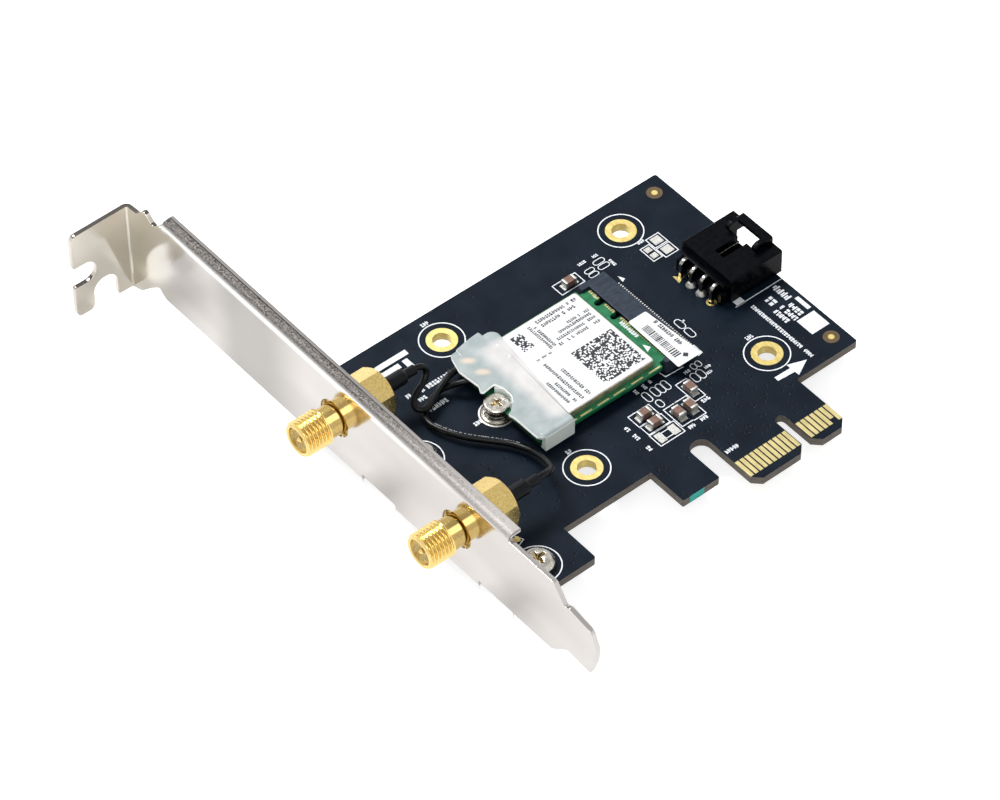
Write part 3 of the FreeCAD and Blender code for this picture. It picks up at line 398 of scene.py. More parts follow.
wiped = (0.25, 1.8, 0.5)  # mm, faint marks along the gold contacts
surfaces = {  # name, tones, roughness, grain and relief in mm, and a plastic's shine
    # Brass, bored and gold-plated: rougher inside the jacks' mouths, and paler there as painted
    # light
    "goldBorePaintedLight": ("goldPlatedBrassBoredPaintedLight", ("#f6e3ae", "#fbedc4"), (0.22, 0.34), wiped, 0.001),
    # Hard gold, plated on the contacts: pale yellow and satin
    "goldPlate": ("hardGoldPlated", ("#dccc8e", "#e8daa0"), (0.28, 0.38), wiped, 0.001),
    # Immersion gold, plated on the holes' copper: a warmer yellow
    "goldHoles": ("immersionGoldPlated", ("#e6cd80", "#f4e094"), (0.28, 0.4), wiped, 0.001),
    # Nickel-plated steel, cold-headed: warm white, softly mirroring
    "screwNickel": ("nickelPlatedScrewSteel", ("#b9b5ac", "#d3cfc6"), (0.2, 0.32), 0.5, 0.002),
    # Tin, dipped on leads: frosty grey-white
    "tin": ("tinPlatedCopper", ("#a9a9a6", "#cfceca"), (0.42, 0.58), 0.35, 0.01),
    # Tin, melted in a ring round the spacer: pale and matt
    "padTin": ("tinPlatedRing", ("#cfcecb", "#e4e3e0"), (0.5, 0.6), 0.3, 0.004),
    # Tin, melted under the spacer: a copy of the ring's tin, painted dull grey as the shade of the
    # screw's head
    "tinPaintedShade": ("tinReflowedPaintedShade", ("#55534f", "#75736f"), (0.4, 0.5), 0.4, 0.006),
    # Tin-plated pins, drawn: smooth and mirroring, toned darker than the leads' tin as painted
    # shade under the housing
    "pinTin": ("tinPlatedPinDrawn", ("#8f8e8b", "#adaca9"), (0.12, 0.18), 0.5, 0),
    # Nickel silver, pressed: warm grey with a satin grain
    "shield": ("nickelSilverPressed", ("#b7b0a3", "#cdc5b8"), (0.34, 0.46), 0.5, 0.004),
    # Bronze, pressed and gold-plated: pinkish gold with soft highlights
    "plug": ("goldPlatedBronzePressed", ("#d9b98a", "#e8cca2"), (0.25, 0.35), 0.4, 0.002),
    # PTFE, turned: waxy white
    "ptfe": ("ptfeTurned", ("#e9e9e4", "#f4f4f0"), (0.45, 0.55), 0.4, 0.002, 0.4),
    # Polyolefin, shrunk over the crimp: matt black with slight lengthwise wrinkles
    "heatShrink": ("polyolefinHeatShrunk", ("#07090c", "#0d1014"), (0.34, 0.46),
                   (1.6, 0.35, 0.35), 0.05, 0.16),
    # FEP, extruded: smooth black with a soft sheen
    "jacket": ("fepJacketExtruded", ("#040507", "#090b0e"), (0.26, 0.36), 0.8, 0.004, 0.2),
    # Liquid-crystal polymer, moulded: slate grey with flow marks
    "slate": ("lcpMouldedSlate", ("#252d38", "#313a47"), (0.36, 0.46), (1.2, 0.5, 0.5), 0.004, 0.2),
    # Nylon, moulded and glossy: nearly black
    "nylon": ("nylonMouldedBlack", ("#020306", "#05070b"), (0.22, 0.32), 0.9, 0.008, 0.06),
    # Epoxy, moulded round the chips: matt black
    "epoxy": ("epoxyMouldedBlack", ("#0f1012", "#1a1b1e"), (0.5, 0.6), 0.3, 0.004, 0.3),
    # Barium titanate, fired: milk-chocolate brown, softly shining
    "ceramic": ("ceramicFiredBrown", ("#6b5044", "#826559"), (0.3, 0.42), 0.35, 0.004, 0.4),
    # Polyester film, coated white: smooth and bright
    "film": ("polyesterFilmWhite", ("#dddfe1", "#e4e5e7"), (0.4, 0.5), 2.5, 0.002, 0.4),
    # Green solder mask, cured over copper: glossy deep green
    "greenMask": ("fr4GreenSolderMask", ("#0f5c38", "#1a764b"), (0.3, 0.4), (1.4, 1.4, 0.3),
                  0.004, 0.4),
    # Epoxy ink, screen-printed: matt white
    "whiteInk": ("epoxyInkWhite", ("#d5dae0", "#eef1f5"), (0.5, 0.6), 0.5, 0.002, 0.4),
    # Ink, printed on a jacket: faded grey
    "greyInk": ("jacketInkGrey", ("#8d9198", "#aeb2b8"), (0.5, 0.6), 0.3, 0.001, 0.4),
    # Thermal print on film: soft matt black
    "blackInk": ("thermalPrintBlack", ("#17191c", "#2b2e33"), (0.5, 0.6), 0.4, 0.001, 0.4),
    # Enamel, dabbed on by hand: clear teal with a low shine
    "tealPaint": ("enamelPaintTeal", ("#0aa79b", "#13b9ac"), (0.35, 0.45), 0.8, 0.004, 0.4),
    # FR4 laminate, bare: resin brown over its glass weave
    "bareLaminate": ("fr4Bare", ("#4a3820", "#63502f"), (0.45, 0.55), 0.4, 0.002, 0.4),
}


def makeSurface(name, tones, gloss, grain, relief, shine=None):
    values = {"IOR": 1.5, "Specular IOR Level": shine} if shine else {"Metallic": 1.0}
    material, tree, shader = startMaterial(name, values)
    addGrain(tree, shader, grain, tones, gloss, relief)
    return material


material = {key: makeSurface(*row) for key, row in surfaces.items()}
material.update(board=makeSolderMask(), nickelSteel=makeNickelSteel(),
                goldTurned=makeGoldBrass(), milky=makeMilkyPlastic())
print("materials made:", len(material))


# Lays a second tone over a material where the share says so
def addTint(kind, share, tone):
    tree = material[kind].node_tree
    shader = tree.nodes["Principled BSDF"]
    first = shader.inputs["Base Color"].links[0].from_socket
    both = addSteps(tree, {}, [("both", "MIX", share, first, tone)])["both"]
    setInputs(tree, shader, {"Base Color": both})


moduleEndShade = {
    "tone": "#07190f",
    "tilt": -0.6,  # what faces this far towards the bracket is the end
}


# Painted shade: the module's end, which faces the bracket under the clip, is darkened
def paintModuleEndShade():
    tree = material["greenMask"].node_tree
    step = addSteps(tree, startSteps(tree), [("onShadedEnd", "LESS_THAN", "along", moduleEndShade["tilt"])])
    addTint("greenMask", step["onShadedEnd"], moduleEndShade["tone"])


screwCross = {
    "screws": ((-34.1, 38.12, 2.62), (-49.7, 9.3, 1.74), (-49.7, 38.5, 1.74)),  # mm, x, y and top
    "radius": 1.5,  # mm
    "tone": "#b5a685",
}


# The crosses pressed into the screws are darker and warmer than the heads
def tintCrosses():
    tree = material["screwNickel"].node_tree
    step = startSteps(tree)
    flat = addNode(tree, "VectorMath", {0: step["place"], 1: (1, 1, 0)}, operation="MULTIPLY")
    for x, y, top in screwCross["screws"]:
        away = addNode(tree, "VectorMath", {0: flat, 1: (x, y, 0)}, "Value", operation="DISTANCE")
        addSteps(tree, step, (
            ("near", "LESS_THAN", away, screwCross["radius"]), ("below", "LESS_THAN", "z", top),
            ("inside", "MULTIPLY", "near", "below")))
        addTint("screwNickel", step["inside"], screwCross["tone"])


paintModuleEndShade()
tintCrosses()


finish = {
    "board": "circuit_board", "goldPlate": "edge_contacts", "nickelSteel": "bracket",
    "goldHoles": "plated_holes coax_receptacles", "ptfe": "jack_insulator_a jack_insulator_b",
    "goldTurned": "antenna_jack_a antenna_jack_b jack_contact_a jack_contact_b",
    "screwNickel": "bracket_screw_lower bracket_screw_upper module_screw standoff",
    "heatShrink": "sleeve_a sleeve_b", "jacket": "coax_cable_a coax_cable_b",
    "plug": "coax_plug_a coax_plug_b", "film": "module_label socket_label",
    "greenMask": "module_board", "shield": "module_shield", "epoxy": "radio_chips",
    "slate": "socket_housing", "milky": "antenna_clip", "nylon": "header_housing",
    "pinTin": "header_pins", "ceramic": "capacitor_bodies",
    "tin": "socket_tails header_solder capacitor_ends solder_pads",
}
for kind, names in finish.items():
    for name in names.split():
        for slot in nodes[name].material_slots:
            slot.material = material[kind]
print("CAD nodes dressed")


rounding = {  # mm, as pressing, moulding and plating leave the edges
    0.08: "bracket module_shield capacitor_ends", 0.07: "header_housing", 0.09: "antenna_clip",
    0.05: "socket_housing capacitor_bodies bracket_screw_lower bracket_screw_upper header_pins "
          "header_solder",
    0.04: "circuit_board module_screw standoff coax_plug_a coax_plug_b",
    0.06: "sleeve_a sleeve_b", 0.03: "module_board", 0.015: "plated_holes edge_contacts",
}
limits = {
    "flat": 0.8,  # degrees; faces that meet flatter than this are joined first
    "sharp": 34,  # degrees; edges sharper than this are rounded
    "weld": 0.0005,  # mm; corners as close as this are merged
    # Two nodes have corners so close together that the rounding would overshoot
    "wideWeld": {"bracket": 0.03, "antenna_clip": 0.03},
    # Here the rounding stops where it meets the next edge
    "clamped": ("header_housing", "socket_housing", "coax_plug_a", "coax_plug_b"),
}


def softenEdges(node, width):
    weld = node.modifiers.new("weld", "WELD")
    weld.merge_threshold = limits["wideWeld"].get(node.name, limits["weld"]) * mm
    flatten = node.modifiers.new("flatten", "DECIMATE")
    flatten.decimate_type = "DISSOLVE"
    flatten.angle_limit = math.radians(limits["flat"])
    bevel = node.modifiers.new("bevel", "BEVEL")
    bevel.width = width * mm
    bevel.segments = 2
    bevel.limit_method = "ANGLE"
    bevel.angle_limit = math.radians(limits["sharp"])
    bevel.use_clamp_overlap = node.name in limits["clamped"]
    node.modifiers.new("normals", "WEIGHTED_NORMAL")


for width, names in rounding.items():
    for name in names.split():
        softenEdges(nodes[name], width)
print("edges rounded")


# The cables run over the same points as their solids, as one smooth curve each
coax = {  # mm
    "diameter": 1.13,
    "lengthB": 44.5,
    "routeA": (
        (-41.7, 49.6, 6.4), (-40.2, 49.6, 6.4), (-39.5, 49.1, 4.8), (-40.9, 48.4, 3.6),
        (-42.8, 47.8, 3.2), (-44.2, 47.1, 2.6), (-44.7, 45.6, 2.1), (-43.3, 44.7, 1.95),
        (-41.4, 45.5, 2.05), (-39.4, 46.5, 2.3), (-37.4, 47.2, 2.6), (-35.6, 47.7, 2.8),
        (-34.1, 47.7, 2.8)),
    "routeB": (
        (-41.7, 18.85, 6.4), (-39.9, 18.85, 6.4), (-38.1, 19.6, 5.3), (-36.9, 21.9, 3.9),
        (-36.1, 24.9, 2.5), (-36, 28, 1.5), (-37.2, 31, 1.1), (-39.6, 33.9, 1.1),
        (-42.2, 36.9, 1.2), (-43.9, 40.4, 1.1), (-44.5, 43.4, 0.95), (-43.1, 45.6, 0.8),
        (-40.7, 46.8, 0.8), (-38.5, 47.4, 0.95), (-37, 46.5, 1.75), (-35.45, 44.95, 2.8),
        (-33.95, 44.405, 2.8)),
}


def addCable(name, route, node):
    curve = bpy.data.curves.new(name, "CURVE")
    curve.dimensions = "3D"
    curve.resolution_u = 10
    curve.bevel_depth = coax["diameter"] / 2 * mm
    curve.bevel_resolution = 4
    curve.use_fill_caps = True
    spline = curve.splines.new("NURBS")
    spline.points.add(len(route) - 1)
    for point, place in zip(spline.points, route):
        point.co = (*(Vector(place) * mm), 1)
    spline.order_u = 3
    spline.use_endpoint_u = True
    spline.use_smooth = True
    curve.materials.append(material["jacket"])
    cable = bpy.data.objects.new(name, curve)
    scene.collection.objects.link(cable)
    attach(cable, "root")
    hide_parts(node)
    return cable


sharpEdge = 32  # degrees, above which a piece's edge stays sharp


# Turns a filled bmesh into a piece that rides on the card
def addPiece(name, bm, kind):
    bmesh.ops.recalc_face_normals(bm, faces=bm.faces)
    for face in bm.faces:
        face.smooth = True
    for edge in bm.edges:
        edge.smooth = edge.calc_face_angle(0) < math.radians(sharpEdge)
    mesh = bpy.data.meshes.new(name)
    bm.to_mesh(mesh)
    bm.free()
    mesh.materials.append(material[kind])
    piece = bpy.data.objects.new(name, mesh)
    scene.collection.objects.link(piece)
    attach(piece, "root")
    return piece


def bridgeRings(bm, first, second):
    count = len(first)
    for i in range(count):
        follow = (i + 1) % count
        bm.faces.new((first[i], first[follow], second[follow], second[i]))


cablePrint = {
    "spans": (6, 7, 8, 9),  # the route's spans that carry the marks
    "lean": (0.35, 0.3, 0.89),  # the side of the cable that they lie on
    "half": 0.13,  # mm, half the height of the marks
    "thickness": 0.025,  # mm
    "dash": (0.03, 0.09),  # shares of a span
    "gaps": (0.03, 0.04, 0.1),
    "end": 0.97,
}


# Small printed dashes run along the upper far side of the second cable
def addCablePrint():
    bm = bmesh.new()
    draw = random.Random(7)
    lean = Vector(cablePrint["lean"]).normalized()
    radius = coax["diameter"] / 2
    for span in cablePrint["spans"]:
        before, at, after = [Vector(point) for point in coax["routeB"][span - 1:span + 2]]

        def placeOn(share):
            return (before * (0.5 * (1 - share) ** 2) + at * (0.5 + share - share ** 2)
                    + after * (0.5 * share ** 2))

        share = 0
        while share < cablePrint["end"]:
            long = draw.uniform(*cablePrint["dash"])
            start = placeOn(share)
            end = placeOn(min(share + long, 1))
            along = (end - start).normalized()
            outward = (lean - along * lean.dot(along)).normalized()
            side = outward.cross(along) * cablePrint["half"]
            rows = []
            for centre in (start, end):
                low = centre + outward * (radius - cablePrint["thickness"])
                high = centre + outward * (radius + cablePrint["thickness"])
                rows.append([bm.verts.new(spot * mm)
                             for spot in (low - side, high - side, high + side, low + side)])
            bridgeRings(bm, rows[0], rows[1])
            bm.faces.new(rows[0])
            bm.faces.new(rows[1])
            share += long + draw.choice(cablePrint["gaps"])
    return addPiece("cablePrint", bm, "greyInk")


addCable("coaxCableA", coax["routeA"], "coax_cable_a")
cableB = addCable("coaxCableB", coax["routeB"], "coax_cable_b")
addCablePrint()
print("cables laid")


jack = {  # mm
    "axisY": {"a": 49.6, "b": 18.85},
    "axisZ": 6.4,
    "rear": -57.35,
    "mouth": -65.8,
    "threadEnd": -60.9,
    "major": 3.175,  # the thread's outer radius
    "depth": 0.36,
    "pitch": 0.7056,
    "crest": 0.12,  # shares of half a pitch: the flat crest, and the flank beside it
    "flank": 0.7,
    "leadIn": 0.35,
    "runOut": 0.3,
    "slack": 0.02,
    "neck": 2.75,
    "bore": 2.3,
    "boreEdge": 0.15,
    "boreDepth": 2,
    "boreLightDepth": 2.5,  # how deep the paler gold, painted light, reaches into the bore
    "insulator": 2.05,
    "insulatorEnd": -52.8,
    "hexFlats": 8,
    "hexEnd": -48.6,
    "chamfer": 0.72,
    "chamferLong": 0.6,  # its length as a share of its height
    "chamferSteps": 8,
    "around": 72,
    "ringsPerPitch": 12,
}


# Barrel with a helical thread outside and a plain bore, then the hexagon behind the bracket
def addJack(suffix):
    bm = bmesh.new()
    count = jack["around"]
    angles = [2 * math.pi * i / count for i in range(count)]

    def ring(x, radii):
        return [bm.verts.new((x * mm, (jack["axisY"][suffix] + radius * math.cos(angle)) * mm,
                              (jack["axisZ"] + radius * math.sin(angle)) * mm))
                for radius, angle in zip(radii, angles)]

    def threadRadius(x, angle, fade):
        phase = (x / jack["pitch"] + angle / (2 * math.pi)) % 1
        flank = min(max((abs(phase * 2 - 1) - jack["crest"]) / jack["flank"], 0), 1)
        return jack["major"] - jack["depth"] * flank * fade

    mouth = jack["mouth"]
    rear = jack["rear"]
    steps = int((jack["threadEnd"] - mouth) / jack["pitch"] * jack["ringsPerPitch"])
    rings = [ring(mouth, [jack["bore"] + jack["boreEdge"]] * count),
             ring(mouth, [jack["major"] - jack["leadIn"]] * count)]
    for i in range(1, steps + 1):
        x = mouth + (jack["threadEnd"] - mouth) * i / steps
        start = min((x - mouth) / jack["leadIn"], 1)
        end = min((jack["threadEnd"] - x) / jack["runOut"], 1)
        limit = jack["major"] - jack["leadIn"] * (1 - start)
        radii = [min(threadRadius(x, angle, end), limit) for angle in angles]
        rings.append(ring(x, radii))
    seat = mouth + jack["boreDepth"]
    foot = jack["threadEnd"] + jack["slack"]
    for x, radius in ((foot, "neck"), (rear, "neck"), (rear, "insulator"), (seat, "insulator"),
                      (seat, "bore"), (mouth + jack["boreEdge"], "bore")):
        rings.append(ring(x, [jack[radius]] * count))
    for first, second in zip(rings, rings[1:] + rings[:1]):
        bridgeRings(bm, first, second)

    half = jack["hexFlats"] / 2
    corner = half / math.cos(math.pi / 6)
    hexagon = [half / math.cos((angle % (math.pi / 3)) - math.pi / 6) for angle in angles]
    hexagon = hexagon[count // 12:] + hexagon[:count // 12]  # a flat faces along y
    inner = [jack["insulator"]] * count
    outer = []
    cut = jack["chamfer"] * jack["chamferLong"]
    for i in range(jack["chamferSteps"] + 1):
        part = i / jack["chamferSteps"]
        reach = corner - jack["chamfer"] * (1 - part)
        outer.append((cut * part, [min(reach, radius) for radius in hexagon]))
    rings = [ring(jack["insulatorEnd"], inner), ring(rear, inner)]
    rings += [ring(rear + step, radii) for step, radii in outer]
    rings += [ring(jack["hexEnd"] - step, radii) for step, radii in reversed(outer)]
    for first, second in zip(rings, rings[1:]):
        bridgeRings(bm, first, second)
    bm.faces.new(rings[0])
    bm.faces.new(rings[-1])
    bm.normal_update()
    axis = Vector((0, jack["axisY"][suffix] * mm, jack["axisZ"] * mm))
    # faces in the bore near the mouth take the paler gold, painted light
    for face in bm.faces:
        centre = face.calc_center_median() - axis
        inBore = centre.yz.length < (jack["bore"] + jack["slack"]) * mm
        if inBore and centre.x < (mouth + jack["boreLightDepth"]) * mm:
            face.material_index = 1
    piece = addPiece(f"antennaJack{suffix.upper()}", bm, "goldTurned")
    piece.data.materials.append(material["goldBorePaintedLight"])
    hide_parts(f"antenna_jack_{suffix}")


for suffix in jack["axisY"]:
    addJack(suffix)
print("jacks turned")


sink = 0.01  # mm, how deep prints and pads reach into what they lie on
arcSteps = 8  # in half a turn of a capsule's end
ringSteps = 64
mitreLimit = 0.4  # keeps the corner of a line from reaching out far where it turns sharply


# Flat prints and pads are thin closed solids; corners in mm, low and high are heights in mm
def addPrism(bm, corners, low, high):
    bottom = [bm.verts.new((x * mm, y * mm, low * mm)) for x, y in corners]
    top = [bm.verts.new((x * mm, y * mm, high * mm)) for x, y in corners]
    bm.faces.new(bottom)
    bm.faces.new(top)
    for i in range(len(corners)):
        bm.faces.new((bottom[i - 1], bottom[i], top[i], top[i - 1]))


def addPlate(bm, x0, x1, y0, y1, low, high):
    addPrism(bm, ((x0, y0), (x1, y0), (x1, y1), (x0, y1)), low, high)


# A printed line of even width through its corners, mitred where it turns
def addStroke(bm, corners, width, low, high, closed=False):
    points = [Vector(corner) for corner in corners]
    rows = []
    for i, point in enumerate(points):
        before = points[i - 1] if closed or i else None
        after = points[(i + 1) % len(points)] if closed or i + 1 < len(points) else None
        into = (point - before).normalized() if before else (after - point).normalized()
        out = (after - point).normalized() if after else into
        side = Vector((-into.y - out.y, into.x + out.x)).normalized()
        square = Vector((-into.y, into.x))
        offset = side * (width / 2 / max(side.dot(square), mitreLimit))
        left = point + offset
        right = point - offset
        rows.append([bm.verts.new((spot.x * mm, spot.y * mm, height * mm))
                     for spot, height in ((left, high), (right, high), (right, low), (left, low))])
    for first, second in zip(rows, rows[1:]):
        bridgeRings(bm, first, second)
    if closed:
        bridgeRings(bm, rows[-1], rows[0])
    else:
        bm.faces.new(rows[0])
        bm.faces.new(rows[-1])


def arcCorners(x, y, radius, start, end, steps):
    turns = [math.radians(start + (end - start) * i / steps) for i in range(steps + 1)]
    return [(x + radius * math.cos(turn), y + radius * math.sin(turn)) for turn in turns]


def addRing(bm, x, y, radius, width, low, high):
    addStroke(bm, arcCorners(x, y, radius, 0, 360, ringSteps)[:-1], width, low, high, closed=True)


def addFrame(bm, x0, x1, y0, y1, width, low, high):
    addStroke(bm, ((x0, y0), (x1, y0), (x1, y1), (x0, y1)), width, low, high, closed=True)


def addCapsule(bm, x0, x1, y0, y1, width, low, high):
    radius = min(x1 - x0, y1 - y0) / 2
    turn = 0 if x1 - x0 < y1 - y0 else -90
    corners = arcCorners(x1 - radius, y1 - radius, radius, turn, turn + 180, arcSteps)
    corners += arcCorners(x0 + radius, y0 + radius, radius, turn + 180, turn + 360, arcSteps)
    addStroke(bm, corners, width, low, high, closed=True)


barRow = {  # all but the chances are shares of the row's height
    "width": (0.4, 0.66),
    "gap": 0.16,
    "least": 0.3,  # no bar begins with less than this left
    "stacked": 0.4,  # the chance of two bars over each other
    "beside": 0.92,  # the chance of those or of two bars beside each other
    "split": (0.35, 0.6),
    "slit": 0.07,
    "upper": (0.6, 1),  # the upper bar's share of the width
    "first": 0.45,  # where the first bar beside another ends, and where that one begins
    "second": 0.6,
    "foot": (0, 0.3),
    "head": (0.7, 1),
}


# A row of small seeded bars stands where the real card has words: the row starts at (x, y) and
# runs along the angle, in degrees, with its bars on the row's left side
def addBarRow(bm, draw, x, y, angle, length, height, low, high):
    along = Vector((math.cos(math.radians(angle)), math.sin(math.radians(angle))))
    side = Vector((-along.y, along.x))

    def addBar(a0, a1, b0, b1):
        corners = [Vector((x, y)) + along * a + side * b
                   for a, b in ((a0, b0), (a1, b0), (a1, b1), (a0, b1))]
        addPrism(bm, corners, low, high)

    at = 0
    while at < length - height * barRow["least"]:
        wide = min(height * draw.uniform(*barRow["width"]), length - at)
        chance = draw.random()
        if chance < barRow["stacked"]:
            split = draw.uniform(*barRow["split"]) * height
            slit = barRow["slit"] * height
            addBar(at, at + wide, 0, split - slit)
            addBar(at, at + wide * draw.uniform(*barRow["upper"]), split + slit, height)
        elif chance < barRow["beside"]:
            addBar(at, at + wide * barRow["first"], 0, height)
            addBar(at + wide * barRow["second"], at + wide, draw.uniform(*barRow["foot"]) * height,
                   draw.uniform(*barRow["head"]) * height)
        at += wide + height * barRow["gap"]


boardPrint = {  # mm
    "span": (-sink, 0.02),
    "line": 0.17,
    "ringLine": 0.2125,
    "capsuleLine": 0.1445,
    "rings": ((-30.57, 19.82, 3.84), (8.03, 19.82, 3.84), (-30.57, 56.42, 3.84),
              (8.03, 56.42, 3.84), (-49.7, 9.3, 3.87), (-49.7, 38.5, 3.87)),
    "frames": ((-8, -5.7, 19.4, 24.15), (-10.7, -8.2, 16.4, 21.3), (-13.1, -10.7, 16.6, 21.3),
               (-18.5, -14.1, 20.9, 23.8), (-18.4, -13.9, 18.7, 21), (-18.5, -13.4, 15.6, 18.5),
               (-16.75, -15.15, 16.35, 17.75), (-9, -4.1, 51.4, 54), (9.75, 12.5, 46.9, 49.35),
               (9.75, 12.5, 49.65, 52.1), (7.6, 9.5, 47.5, 51)),
    "capsules": ((0.9, 2.1, 30.3, 32.6), (0.9, 2.1, 32.8, 35.1), (-13.75, -12.7, 24, 26.3),
                 (-12, -10.9, 24.1, 26.3), (-10.8, -9.8, 24.1, 26.3), (-9.7, -8.7, 24.1, 26.3),
                 (-13.1, -12, 21.9, 23.6), (-5, -3.85, 22.3, 24.4), (-3.75, -2.6, 22.3, 24.4),
                 (-3.5, -2.6, 24.7, 26), (-2.5, -1.6, 24.7, 26), (-2.9, -1, 51.2, 52.1),
                 (-2.9, -1, 52.3, 53.2), (-0.5, 1.7, 51.6, 52.6), (-0.5, 1.7, 52.9, 53.9)),
    "lines": (((-8.2, 27.9), (-8, 26.6), (-4.3, 26.4)), ((11, 30.85), (21.15, 30.85)),
              ((-48.75, 16.4), (-48, 14.75), (-49.7, 14.1)), ((-0.9, 26.7), (0.1, 26.8)),
              ((0.1, 26.8), (0.1, 29))),
    "blocks": ((11.4, 13.1, 30.7, 32.4), (16.5, 20.3, 18.2, 22.05), (-43, -36.6, 57.6, 58.7),
               (-43, -39.4, 55.9, 57), (-38.6, -37.5, 54.9, 57), (-0.9, 0.1, 27.3, 28.2),
               (19.7, 20.5, 22.9, 26.1)),
    "shapes": (((12.05, 14.6), (8.7, 15.85), (8.72, 14.95), (5.35, 15.05), (5.35, 14.1),
                (8.78, 13.85), (8.8, 12.9)), ((0.6, 47.3), (1.4, 47.6), (0.8, 48.8))),
    "rows": (  # x, y, angle, length, height
        (13.6, 14.6, 90, 15.4, 0.75), (-40.3, 49.4, 0, 7.3, 0.95), (-43.6, 49.8, 0, 1.4, 0.9),
        (-41.9, 48, 0, 1.5, 0.8), (-42, 45.2, 0, 4.1, 1), (-38.4, 38.1, 0, 1.6, 0.85),
        (-31.1, 23.9, 0, 1.4, 0.8), (-31.2, 60.6, 0, 1.4, 0.8), (7.5, 24, 0, 1.4, 0.8),
        (-19.9, 21.4, 90, 1.4, 0.75), (-19.9, 19, 90, 1.4, 0.75), (-19.9, 16, 90, 1.2, 0.75),
        (-12.5, 15.3, 0, 1.3, 0.75), (-9.9, 15.4, 0, 1.4, 0.75), (-7.1, 18.3, 0, 1.6, 0.75),
        (-11.5, 7.5, 0, 2.6, 0.8), (-13.6, 26.6, 90, 1.2, 0.6), (-11.8, 26.6, 90, 1.2, 0.6),
        (-10.4, 26.6, 90, 1.2, 0.6), (-5.2, 24.9, 0, 1.2, 0.6), (-2.4, 22.5, 0, 1.3, 0.6),
        (-1.9, 23.6, 0, 1.3, 0.6), (2.6, 33.2, 90, 1.3, 0.6), (-2.6, 54.6, 0, 1.8, 0.6),
        (0.4, 54.5, 0, 1.6, 0.6), (2.5, 51, 90, 1.6, 0.6), (8.2, 52, 0, 1.3, 0.7),
        (19.7, 26.7, 90, 3.9, 1.35), (17.1, 27.3, 90, 2.9, 1.5), (18.8, 22.7, 90, 3.5, 1.1),
        (17.3, 22.4, 90, 4.1, 1), (15.9, 22.9, 90, 3.2, 1)),
}


def addBoardPrint():
    bm = bmesh.new()
    draw = random.Random(11)
    span = boardPrint["span"]
    line = boardPrint["line"]
    for ring in boardPrint["rings"]:
        addRing(bm, *ring, boardPrint["ringLine"], *span)
    for frameBox in boardPrint["frames"]:
        addFrame(bm, *frameBox, line, *span)
    for capsule in boardPrint["capsules"]:
        addCapsule(bm, *capsule, boardPrint["capsuleLine"], *span)
    for corners in boardPrint["lines"]:
        addStroke(bm, corners, line, *span)
    for block in boardPrint["blocks"]:
        addPlate(bm, *block, *span)
    for corners in boardPrint["shapes"]:
        addPrism(bm, corners, *span)
    for row in boardPrint["rows"]:
        addBarRow(bm, draw, *row, *span)
    addPiece("boardPrint", bm, "whiteInk")


addBoardPrint()


boardPads = {  # mm
    "span": (-sink, 0.03),
    "fiducials": ((18.17, 59.56), (18.5, 15.81)),
    "fiducialRadius": 0.55,
    "clearing": (0.975, 0.85, -sink, 0.012),  # radius, width, low and high
    "shapes": (((-49.6, 15), (-48.5, 14.75), (-48.2, 15.8), (-49.3, 16.05)),
               ((7.5, 41), (8.9, 41.6), (7.7, 42.9))),
    "pinRing": (8.7, 34.34, 0.72, 0.36),  # x, y, radius and width
    "standoffRing": (-34.1, 38.12, 2.9, 0.26, -sink, 0.1),
    "standoffPaintedShade": (-34.1, 38.12, 2.6, 0.4, -sink, 0.05),
}


# Bare gold on the board that carries no part, its bare laminate, and the tin round the spacer, with
# its inner part painted dull as the shade of the screw's head
def addBoardPads():
    pads, clearings, ring, bed = [bmesh.new() for i in range(4)]
    for x, y in boardPads["fiducials"]:
        corners = arcCorners(x, y, boardPads["fiducialRadius"], 0, 345, 23)
        addPrism(pads, corners, *boardPads["span"])
        addRing(clearings, x, y, *boardPads["clearing"])
    for corners in boardPads["shapes"]:
        addPrism(pads, corners, *boardPads["span"])
    addRing(pads, *boardPads["pinRing"], *boardPads["span"])
    addRing(ring, *boardPads["standoffRing"])
    addRing(bed, *boardPads["standoffPaintedShade"])
    addPiece("boardPads", pads, "goldHoles")
    addPiece("fiducialClearings", clearings, "bareLaminate")
    addPiece("standoffRing", ring, "padTin")
    addPiece("standoffPaintedShade", bed, "tinPaintedShade")


addBoardPads()


labelPrint = {  # mm
    "span": (3.53 - sink, 3.542),
    "dark": 0.58,  # the share of the cells that are dark
    "fields": ((-18.55, -10.02, 29.3, 38, 34), (-24.1, -21.9, 43.05, 46.8, 13)),
    "rows": (
        (-18.5, 46.5, 0, 8.5, 0.72), (-18.2, 45.35, 0, 8.2, 0.72), (-15, 43.35, 0, 3.1, 0.62),
        (-10.95, 43.35, 0, 1, 0.62), (-17.4, 42.5, 0, 7.3, 0.62), (-18.6, 41.45, 0, 6.1, 0.62),
        (-11.7, 41.5, 0, 1.8, 0.62), (-18.7, 40.35, 0, 0.8, 0.62), (-16.9, 40.35, 0, 4.5, 0.62),
        (-11.3, 40.35, 0, 1.3, 0.62), (-20.4, 46.9, -90, 6.1, 0.6), (-19.6, 46.2, -90, 5.4, 0.6),
        (-23.8, 40, 0, 0.8, 0.5), (-22.7, 40, 0, 0.9, 0.5), (-21.3, 40, 0, 0.6, 0.5),
        (-23.7, 38.9, -90, 9.7, 0.66), (-24.95, 34.6, -90, 5.3, 0.62),
        (-26, 35.5, -90, 5.7, 0.62), (-22.2, 36.3, -90, 7.1, 0.66)),
}


